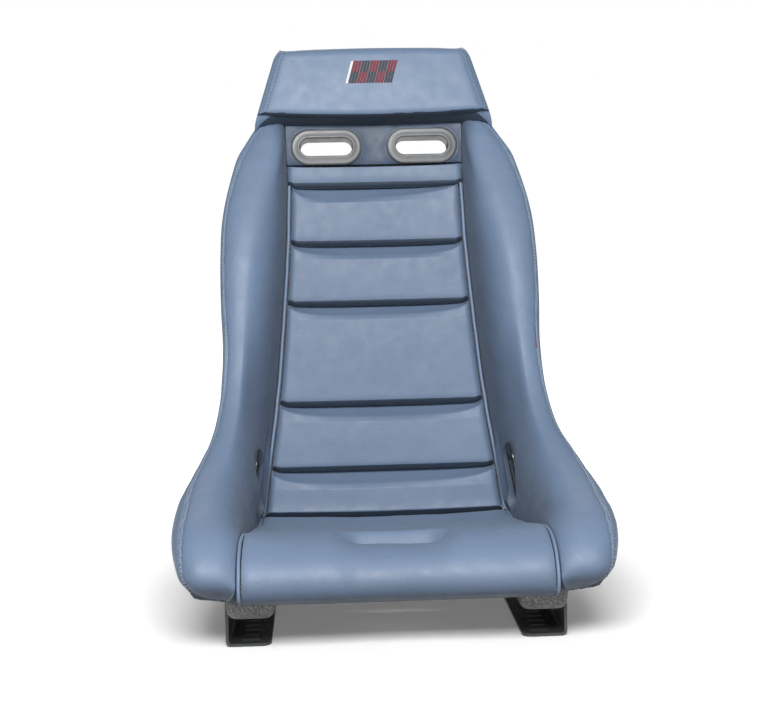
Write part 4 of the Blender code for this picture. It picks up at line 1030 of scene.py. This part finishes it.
def bolster_relief(us, outline, side):
    """Hem groove, folds by the hip and shoulder, and slight slackness in the cover."""
    travel, normal = travel_and_normals(outline)
    u = us[:, None] + 0 * travel
    hem = hem_distance(us)[:, None]
    move = -0.0017 * hill(travel, hem, 0.0017) - 0.0013 * hill(travel, hem - 0.0055, 0.0014)
    move += 0.0008 * hill(travel, hem - 0.0028, 0.0018)
    from_foot = travel[:, -1:] - travel
    # folds that run down the inner hip beside the piping
    hip = smooth_step(5.3, 5.9, u) * (1 - smooth_step(6.9, 7.7, u))
    move += hip * (0.0068 * hill(from_foot, 0.016, 0.0075) - 0.0034 * hill(from_foot, 0.032, 0.006))
    # a slanted tuck low on the hip, and two near the shoulder
    move -= 0.0016 * hill(from_foot - 0.05 - 0.03 * (u - 4.6), 0.0, 0.010) * hill(u, 4.6, 0.7)
    move -= 0.0026 * hill(from_foot - 0.028 - 0.035 * (11.1 - u), 0.0, 0.008) * hill(u, 11.25, 0.5)
    move += 0.0018 * hill(from_foot - 0.045 - 0.035 * (11.1 - u), 0.0, 0.009) * hill(u, 11.2, 0.5)
    move -= 0.0012 * hill(from_foot - 0.05 - 0.06 * (8.3 - u), 0.0, 0.006) * hill(u, 8.1, 0.45)
    if side == "left":
        move += 0.0170 * hill(u, 5.45, 0.46) * hill(from_foot, 0.048, 0.028)
    free = smooth_step(0.0, 0.02, travel) * smooth_step(0.0, 0.015, from_foot)
    seed = 5 if side == "right" else 15
    move += free * (0.0007 * ripple(outline, 0.11, seed) + 0.00028 * ripple(outline, 0.04, 6))
    # gathers along the hem
    pucker = ripple(outline * np.array([0.3, 1.0, 1.0]), 0.013, 7)
    move += 0.00022 * pucker * hill(travel, hem + 0.004, 0.006)
    return normal * move[..., None]


def hem_stitches(us, outline, side):
    travel, normal = travel_and_normals(outline)
    runs = []
    for offset in (0.0, -0.0055):
        line, outward = [], []
        for row, u in enumerate(us):
            if not HEM_START < u < HEM_END:
                continue
            along = float(hem_distance(u)) + offset * float(1 - 0.85 * hill(u, 0.2, 0.9))
            line.append([np.interp(along, travel[row], outline[row, :, k]) for k in range(3)])
            outward.append([np.interp(along, travel[row], normal[row, :, k]) for k in range(3)])
        runs.append(stitch_run(line, outward, STITCH_PITCH))
    name = f"bolster_stitching_{side}"
    mesh = stitches(name, runs, 0.0038, 0.0008)
    if side == "left":
        mesh = mirrored(mesh, name)
    show(new_object(name, mesh, THREAD_PALE), "seat_frame", [])


# --- Headrest ------------------------------------------------------------------------

HEAD_BOTTOM = 0.7030
HEAD_FACE_BOTTOM = 0.725
HEAD_WIDTH = (0.366, 0.304)
HEAD_Y = (0.207, 0.230)
HEAD_ROUND = 0.012
HEAD_TOP = 0.828
HEAD_STITCH_LINES = (0.0065, 0.0125)    # distances from the headrest's sides


def head_point(share, across):
    """The headrest's front face: share runs up it and across runs over it."""
    width = HEAD_WIDTH[0] + (HEAD_WIDTH[1] - HEAD_WIDTH[0]) * share
    arch = 0.0035 * (1 - across ** 2) * share - 0.0065 * (1 - across ** 2) * (1 - share)
    corner = 0.016
    above_corner = np.clip(share * (HEAD_TOP - HEAD_FACE_BOTTOM) - (HEAD_TOP - HEAD_FACE_BOTTOM)
                           + corner, 0, corner)
    tuck = corner - np.sqrt(np.clip(corner ** 2 - above_corner ** 2, 0, None))
    x = across * (width / 2 - 0.55 * tuck)
    z = HEAD_FACE_BOTTOM + (HEAD_TOP - 0.0035 - HEAD_FACE_BOTTOM) * share + arch
    y = HEAD_Y[0] + (HEAD_Y[1] - HEAD_Y[0]) * share
    side_gap = (1.0 - np.abs(across)) * width / 2
    end_gap = np.minimum(share, 1.0 - share) * (HEAD_TOP - HEAD_FACE_BOTTOM)
    back = np.maximum(1 - soft_edge(side_gap, HEAD_ROUND * 2), 1 - soft_edge(end_gap, HEAD_ROUND))
    y = y + HEAD_ROUND * back - 0.0025 * (1 - across ** 2) * np.sin(np.pi * share)
    return np.stack([x, y, z], axis=-1)


def make_headrest():
    rows = 0.5 - 0.5 * np.cos(np.pi * np.linspace(0, 1, 73))
    columns = np.linspace(-1, 1, 121)
    columns = np.sign(columns) * (1 - (1 - np.abs(columns)) ** 1.35)
    share, across = np.meshgrid(rows, columns, indexing="ij")
    face = head_point(share, across)
    u_low = u_at_height(HEAD_BOTTOM, 0.004)
    u = u_low + (LAST - 0.02 - u_low) * share
    back = above(u, across * 2.8, PAD_BASE + 0 * u)
    normal = normals_of(face)
    normal = normal * np.where(normal[..., 1:2] > 0, -1.0, 1.0)
    width = HEAD_WIDTH[0] + (HEAD_WIDTH[1] - HEAD_WIDTH[0]) * share
    side_gap = (1.0 - np.abs(across)) * width / 2
    inner = smooth_step(0.0, 0.02, side_gap) * smooth_step(0.0, 0.12, np.minimum(share, 1 - share))
    move = inner * (0.0005 * ripple(face, 0.07, 21) + 0.0002 * ripple(face, 0.03, 22))
    for line in HEAD_STITCH_LINES:
        move -= 0.0006 * hill(side_gap, line, 0.0014)
    face = face + normal * move[..., None]
    # skirt rows carry the face back to the shell with a slanted, slightly hollow underside
    mesh = head_mesh(face, back)
    head = new_object("headrest_cover", mesh, LEATHER)
    # painted shadow: near-black leather on the headrest's downward-facing underside
    mesh.materials.append(LEATHER_PAINTED_SHADOW)
    for polygon in mesh.polygons:
        below = polygon.center.z < HEAD_FACE_BOTTOM + 0.004
        if below and polygon.normal.z < -0.55:
            polygon.material_index = 1
    show(head, "seat_frame", ["headrest_pad"])
    runs = []
    for sign in (-1, 1):
        for line in HEAD_STITCH_LINES:
            path, outs = [], []
            for i, r in enumerate(rows):
                if not 0.03 < r < 0.97:
                    continue
                gaps = side_gap[i] * np.where(np.sign(across[i]) == sign, 1.0, 99.0)
                order = np.argsort(gaps)
                path.append([np.interp(line, gaps[order], face[i, order, k]) for k in range(3)])
                outs.append([np.interp(line, gaps[order], normal[i, order, k]) for k in range(3)])
            runs.append(stitch_run(path, outs, STITCH_PITCH))
    mesh = stitches("headrest_stitching", runs, 0.0040, 0.00055)
    show(new_object("headrest_stitching", mesh, THREAD), "seat_frame", [])


def head_mesh(face, back):
    """The face and the back joined by rows that bulge a little between them."""
    rows, columns = face.shape[:2]
    index = np.array(border_of(rows, columns))
    front_edge, back_edge = face.reshape(-1, 3)[index], back.reshape(-1, 3)[index]
    middle = front_edge.mean(axis=0)
    away = unit((front_edge - middle) * np.array([1.0, 0.0, 1.0]))
    steps = 7
    verts = [face.reshape(-1, 3)]
    faces = grid_faces(rows, columns)
    previous = index.tolist()
    total = rows * columns
    count = len(index)
    for k in range(1, steps):
        t = k / steps
        bulge = 0.0012 * math.sin(math.pi * t) * away
        sag = 0.00025 * ripple(front_edge + t * 0.05, 0.05, 31)[:, None] * math.sin(math.pi * t)
        verts.append(front_edge * (1 - t) + back_edge * t + bulge + sag * away)
        current = list(range(total, total + count))
        total += count
        for j in range(count):
            n = (j + 1) % count
            faces.append([previous[j], previous[n], current[n], current[j]])
        previous = current
    verts.append(back.reshape(-1, 3))
    faces += grid_faces(rows, columns, total)
    last = (index + total).tolist()
    for j in range(count):
        n = (j + 1) % count
        faces.append([previous[j], previous[n], last[n], last[j]])
    return mesh_of("headrest_cover", np.concatenate(verts), faces)


def make_badge():
    """A generic embroidered check: two rows of slanted blocks in satin stitch."""
    low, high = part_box("headrest_badge")
    centre_z = (low.z + high.z) / 2 - 0.008
    tree = BVHTree.FromObject(bpy.data.objects["headrest_cover"],
                              bpy.context.evaluated_depsgraph_get())
    groups = {"dark": [], "red": [], "white": []}
    columns, rows, block, tall = 5, 2, 0.0140, 0.0178
    pitch = 0.00075
    for row in range(rows):
        for column in range(columns):
            kind = "dark" if (row + column) % 2 == 0 else "red"
            count = int(tall / pitch)
            for k in range(count):
                z = centre_z + (row - 0.5) * tall + (k + 0.5) / count * tall - tall / 2
                lean = (z - centre_z) * 0.28
                x = (column - (columns - 1) / 2) * block + lean
                groups[kind].append((x, z, block * 0.98))
    for k in range(int(2 * tall / pitch)):
        z = centre_z + (k + 0.5) * pitch - tall
        lean = (z - centre_z) * 0.28
        groups["white"].append((-columns * block / 2 - 0.0014 + lean, z, 0.0024))
    finishes = {"dark": THREAD_DARK, "red": THREAD_RED, "white": THREAD_WHITE}
    made = []
    for kind, bars in groups.items():
        runs = []
        for x, z, length in bars:
            pieces = max(1, int(round(length / 0.0048)))
            for k in range(pieces):
                at = x + ((k + 0.5) / pieces - 0.5) * length
                hit, out = tree.ray_cast(Vector((at, -1.0, z)), Vector((0.0, 1.0, 0.0)))[:2]
                way = np.array([1.0, 0.0, 0.0])
                point = np.array(hit) + np.array(out) * 0.0001
                runs.append((point[None], way[None], np.array(out)[None]))
        mesh = stitches(f"badge_{kind}", runs, 0.0050, 0.00048, shift=False)
        made.append(new_object(f"badge_embroidery_{kind}", mesh, finishes[kind]))
    show(made[0], "seat_frame", ["headrest_badge"])
    for piece in made[1:]:
        show(piece, "seat_frame", [])


# --- Cushion -------------------------------------------------------------------------

CUSHION_END = 5.70
FUNNEL_FLOOR = 0.0066


def cushion_rise(u, across):
    full = pad_thick(np.minimum(u, HEEL - 1e-6))
    front = soft_edge(u + 0.04, 1.25)
    rear = soft_edge(CUSHION_END - u + 0.02, 0.25)
    side = soft_edge((1.0 - np.abs(across)) * 0.2 + 0.003, 0.016)
    ends = np.minimum(front, rear)
    return full * (0.20 + 0.80 * ends) - 0.006 * (1 - side) * ends


def make_cushion():
    us = np.concatenate([np.linspace(0.0, 0.45, 22)[:-1], np.linspace(0.45, 1.9, 40)[:-1],
                         np.linspace(1.9, 3.3, 66)[:-1], np.linspace(3.3, 5.3, 44)[:-1],
                         np.linspace(5.3, CUSHION_END, 16)])
    columns = np.linspace(-1, 1, 171)
    columns = np.sign(columns) * np.abs(columns) ** 0.9
    u, across = np.meshgrid(us, columns, indexing="ij")
    rise = cushion_rise(u, across)
    edge = insert_edge(u)
    crown = np.clip(np.sin(np.pi * np.clip(u / HEEL, 0, 1)), 0, 1)
    rise = rise + 0.0025 * (1 - across ** 2) * crown
    points = above(u, across * edge, rise)
    free = smooth_step(0.0, 0.10, 1 - np.abs(across)) * smooth_step(0.0, 0.3, CUSHION_END - u)
    rise = rise + free * (0.0009 * ripple(points, 0.12, 51) + 0.0003 * ripple(points, 0.045, 52))
    # slight pull lines that leave the piping over the roll
    fan = ripple(points * np.array([0.25, 1.0, 1.0]), 0.03, 53)
    rise = rise + 0.0005 * fan * hill(np.abs(across), 0.93, 0.05) * smooth_step(0.5, 1.5, u)
    origin, side, climb, _ = crotch_place()
    local = above(u, across * edge, 0.0 * u) - origin
    x, y = local @ side, local @ climb
    depth = funnel_depth(np.abs(x), y)
    scoop = smooth_step(-0.115, -0.030, y) * (1 - smooth_step(0.0, 0.022, y))
    rise = rise - 0.0215 * scoop * (1 - smooth_step(0.045, 0.090, np.abs(x)))
    rise = FUNNEL_FLOOR + (rise - FUNNEL_FLOOR) * depth
    top = above(u, across * edge, rise)
    base = above(u, across * edge, CUSHION_BASE + 0 * rise)
    mesh = slab_mesh("seat_cushion_cover", base, top)
    cushion = new_object("seat_cushion_cover", mesh, LEATHER)
    cut_with(cushion, [prism("hole", (CROTCH_BOTTOM[0] - 0.002, CROTCH_BOTTOM[1] - 0.002), 0.0,
                             crotch_place(), -0.02, 0.02)])
    cushion.data.set_sharp_from_angle(angle=math.radians(60.0))
    paint_shade(cushion, front_shade)
    show(cushion, "cushion", ["seat_cushion"])


def funnel_depth(x, y):
    """0 on the funnel's floor and 1 outside its softly rounded mouth."""
    reach = CROTCH_BOTTOM[0] / 2 - CROTCH_BOTTOM[1] / 2
    across_gap = np.clip(x - reach, 0, None)
    distance = np.hypot(across_gap * 0.80, y) - CROTCH_BOTTOM[1] / 2
    wide = 0.016 + 0.016 * smooth_step(0.0, 0.02, -y)
    t = np.clip(distance / wide, 0.0, 1.0)
    return np.sin(0.5 * np.pi * t) ** 1.05


# --- Pipings, bezels, fasteners ------------------------------------------------------


def make_pipings():
    us = np.linspace(0.04, CUSHION_END - 0.07, 190)
    height = cushion_rise(us, np.ones_like(us))
    cushion = above(us, np.ones_like(us), height - PIPING_SINK)
    low = u_at_height(PANEL_HEIGHTS[0] - 0.004, 0.02)
    high = u_at_height(PANEL_HEIGHTS[-2], 0.02)
    back_us = np.linspace(low, high, 220)
    back = above(back_us, np.ones_like(back_us), pad_thick(back_us) - 0.007 - PIPING_SINK)
    for name, points, body in (("cushion_piping", cushion, "cushion"),
                               ("back_piping", back, "seat_frame")):
        wavy = 0.00035 * ripple(points, 0.05, 61)
        points = points + np.stack([wavy, 0 * wavy, 0 * wavy], axis=-1)
        mesh = tube(name, points, PIPING_RADIUS * 0.80, 16)
        show_pair(name, "_cord", mesh, PIPING, body, name)


def bezel_ring(name, slot, profile, place):
    rings = [placed(stadium(slot[0] + 2 * offset, slot[1] + 2 * offset, 22, 6), place, depth)
             for offset, depth in profile]
    return ring_mesh(name, rings, closed=True)


def make_front_bezel(kind, place, finish):
    """A moulded slot bezel with a rounded flange, a raised lip and a sleeve."""
    low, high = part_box(f"{kind}_bezel_front_right")
    corners = [np.array([x, y, z]) for x in (low.x, high.x) for y in (low.y, high.y)
               for z in (low.z, high.z)]
    reach = min(float((c - SHIFT - place[0]) @ place[3]) for c in corners)
    reach = max(-reach, 0.012)
    if kind == "lap_belt":
        reach = min(reach, 0.06)
    flange, thick, wall, fit = 0.0145, 0.0050, 0.0025, 0.0004
    profile = [(0.0, -reach), (0.0, 0.0022)]
    for k in range(1, 6):
        angle = math.radians(18.0 * k)
        profile.append((0.0024 * (1 - math.cos(angle)),
                        0.0022 + (thick - 0.0022) * math.sin(angle)))
    profile += [(0.0036, thick - 0.0002), (0.0046, thick - 0.0007), (0.0105, thick - 0.0010)]
    for k in range(1, 7):
        angle = math.radians(15.0 * k)
        profile.append((0.0105 + (flange - 0.0105) * math.sin(angle),
                        0.0010 + (thick - 0.0020) * math.cos(angle)))
    profile += [(flange, fit), (wall, fit), (wall, -reach)]
    mesh = bezel_ring(f"{kind}_bezel_trim", HARNESS_SLOT, profile, place)
    show_pair(f"{kind}_bezel_trim", "", mesh, finish, "seat_frame", f"{kind}_bezel_front",
              32.0)


def make_rear_lap_bezel(place):
    """A thin rounded ring on the shell's outer face round the lap slot."""
    tree = BVHTree.FromObject(bpy.data.objects["shell_skin"],
                              bpy.context.evaluated_depsgraph_get())
    outline = stadium(HARNESS_SLOT[0] + 0.017, HARNESS_SLOT[1] + 0.017, 10, 4)
    depths = []
    for point in placed(outline, place, -0.09) + SHIFT:
        hit, _, _, distance = tree.ray_cast(Vector(point), Vector(place[3]), 0.085)
        depths.append(-0.09 + distance if hit else np.nan)
    depths = np.array(depths)
    depths = np.where(np.isnan(depths), np.nanmedian(depths), depths) - 0.0008
    profile = [(0.0029, 0.0), (0.0029, -0.0026), (0.0040, -0.0035), (0.0100, -0.0033),
               (0.0118, -0.0022), (0.0123, 0.0)]
    origin, side, rise, out = place
    rings = []
    for offset, lift in profile:
        ring = stadium(HARNESS_SLOT[0] + 2 * offset, HARNESS_SLOT[1] + 2 * offset, 10, 4)
        rings.append(origin + ring[:, :1] * side + ring[:, 1:] * rise
                     + (depths + lift)[:, None] * out)
    mesh = ring_mesh("lap_belt_bezel_back_trim", rings, closed=True)
    show_pair("lap_belt_bezel_back_trim", "", mesh, TRIM_BLACK, "seat_frame",
              "lap_belt_bezel_rear", 32.0)


# --- Rails and finishes on the CAD nodes ---------------------------------------------

RAIL_ENDS = (-0.243, 0.092)
RAIL_TOP_X = (0.1515, 0.2290)
RAIL_FOOT_X = (0.1640, 0.2200)
RAIL_FOOT_Z = 0.0445
RAIL_CORNER = 0.010
RAIL_TOP_Z = 0.066                  # where no pan is above
RAIL_SINK = 0.0015                  # the top's distance under the pan's inner side


def rail_corner(side, inset):
    """A rounded lower corner: side is 0 for the inner one and 1 for the outer one."""
    sign = 2 * side - 1
    foot = RAIL_FOOT_X[side] - sign * (RAIL_CORNER + inset)
    points = []
    for k in range(7):
        angle = math.radians(-90.0 + 15.0 * k)
        lean = (RAIL_TOP_X[side] - RAIL_FOOT_X[side]) * 0.35 * k / 6
        x = foot + sign * RAIL_CORNER * math.cos(angle) + lean
        points.append((x, RAIL_FOOT_Z + inset + RAIL_CORNER * (1 + math.sin(angle))))
    return points


def rail_outline(tree, y, inset):
    """Foot with rounded corners, leaning sides, and a top that follows the pan."""
    inner, outer = (rail_corner(side, inset) for side in (0, 1))
    top = []
    for x in np.linspace(RAIL_TOP_X[1] - inset, RAIL_TOP_X[0] + inset, 11):
        hit = tree.ray_cast(Vector((x, y + SHIFT[1], 0.0)), Vector((0.0, 0.0, 1.0)))[0]
        top.append((x, (hit.z if hit else RAIL_TOP_Z) - RAIL_SINK))
    return [np.array([x, y, z]) for x, z in outer + top + inner[::-1]]


def make_rails():
    tree = BVHTree.FromObject(bpy.data.objects["shell_skin"],
                              bpy.context.evaluated_depsgraph_get())
    front, rear = RAIL_ENDS
    stations = [(front, 0.005), (front + 0.0012, 0.0022), (front + 0.004, 0.0005)]
    stations += [(y, 0.0) for y in np.linspace(front + 0.008, rear - 0.008, 16)]
    stations += [(rear - 0.004, 0.0005), (rear - 0.0012, 0.0022), (rear, 0.005)]
    rings = [rail_outline(tree, y, inset) for y, inset in stations]
    mesh = ring_mesh("mount_rail_right_body", rings)
    # the rails' lighter gelcoat is painted light
    show_pair("mount_rail", "_body", mesh, RAIL_LIGHTENED, "seat_frame", "mount_rail",
              35.0)


def seam_stitches(rows):
    """Small stitches that close the valley between neighbouring back panels."""
    runs = []
    for row in rows:
        inner = row[2:-2]
        centres, ways = polyline(inner, 0.0046)
        outs = np.tile(np.array([0.0, -0.93, 0.37]), (len(centres), 1))
        runs.append((centres, ways, outs))
    mesh = stitches("seam_stitching", runs, 0.0034, 0.00055)
    show(new_object("seam_stitching", mesh, THREAD), "seat_frame", [])


def dress_cad_nodes():
    finishes = {"bracket_left": POWDER, "bracket_right": POWDER,
                "bracket_bolt": ZINC, "bracket_washer": ZINC, "threaded_insert": ZINC,
                "crotch_bezel": TRIM, "harness_bezel": TRIM, "lap_belt_bezel": TRIM_BLACK,
                "pan_hook_strip": HOOK, "cushion_loop_strip": HOOK, "side_tag": TAG}
    for name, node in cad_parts.items():
        for start, finish in finishes.items():
            if name.startswith(start):
                node.data.materials.clear()
                node.data.materials.append(finish)
    for side in ("left", "right"):
        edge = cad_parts[f"bracket_{side}"].modifiers.new("edge", "BEVEL")
        edge.width = 0.0005
        edge.segments = 3
        edge.limit_method = "ANGLE"
        edge.angle_limit = math.radians(28.0)


# --- Assembly ------------------------------------------------------------------------

make_camera()
make_studio()
LEATHER = leather_material("blue_leatherette", (0.058, 0.088, 0.140), (0.112, 0.160, 0.243),
                           (0.126, 0.178, 0.268))
# much darker copy of the leatherette for the yoke: painted shadow under the headrest's overhang
LEATHER_YOKE_SHADED = leather_material("blue_leatherette_yoke_shaded", (0.018, 0.032, 0.054),
                                (0.028, 0.048, 0.082), (0.034, 0.056, 0.092), 0.8)
# near-black copy of the leatherette: painted shadow under the back panels' rolls and the headrest
LEATHER_PAINTED_SHADOW = leather_material("painted_shadow_leatherette", (0.008, 0.014, 0.026), (0.016, 0.027, 0.046),
                                (0.021, 0.034, 0.056), 0.8)
PIPING = leather_material("piping_leatherette", (0.07, 0.10, 0.155), (0.125, 0.178, 0.270),
                          (0.14, 0.196, 0.295), 0.5)
# darker copy of the leatherette for the back panels: painted shade deep in the bucket
LEATHER_PANEL_SHADED = leather_material("blue_leatherette_panels_shaded", (0.050, 0.076, 0.122),
                                 (0.090, 0.130, 0.200), (0.102, 0.145, 0.220))
GELCOAT = gelcoat_material("speckled_gelcoat", 1.3)
# lighter copy of the shell's gelcoat for the rails: painted light on rails that sit in the seat's
# shadow
RAIL_LIGHTENED = gelcoat_material("speckled_rail_lightened", 2.6)
TRIM = plastic_material("grey_plastic", (0.082, 0.086, 0.090), (0.11, 0.114, 0.118), 0.34, 0.46)
TRIM_BLACK = plastic_material("black_plastic", (0.010, 0.010, 0.011), (0.02, 0.02, 0.021),
                              0.18, 0.3)
HOOK = fabric_material("hook_and_loop", (0.006, 0.006, 0.007), (0.03, 0.03, 0.032))
TAG = fabric_material("tag_fabric", (0.05, 0.006, 0.010), (0.24, 0.02, 0.035))
POWDER = powder_material()
ZINC = metal_material()
THREAD = thread_material("navy_thread", (0.025, 0.045, 0.085), (0.08, 0.125, 0.20))
THREAD_PALE = thread_material("grey_thread", (0.10, 0.125, 0.16), (0.24, 0.29, 0.36))
THREAD_DARK = thread_material("charcoal_thread", (0.008, 0.010, 0.016), (0.04, 0.045, 0.06))
THREAD_RED = thread_material("red_thread", (0.07, 0.006, 0.012), (0.22, 0.016, 0.030))
THREAD_WHITE = thread_material("white_thread", (0.45, 0.46, 0.48), (0.75, 0.76, 0.78))

dress_cad_nodes()
make_shell()
seams = [make_back_panel(index) for index in range(len(PANEL_HEIGHTS) - 1)]
make_yoke()
seam_stitches(seams[1:])
make_bolster("right")
make_bolster("left")
make_rails()
make_headrest()
make_badge()
make_cushion()
make_pipings()
make_front_bezel("harness", harness_place(), TRIM)
make_front_bezel("lap_belt", lap_place(), TRIM_BLACK)
make_rear_lap_bezel(lap_place())
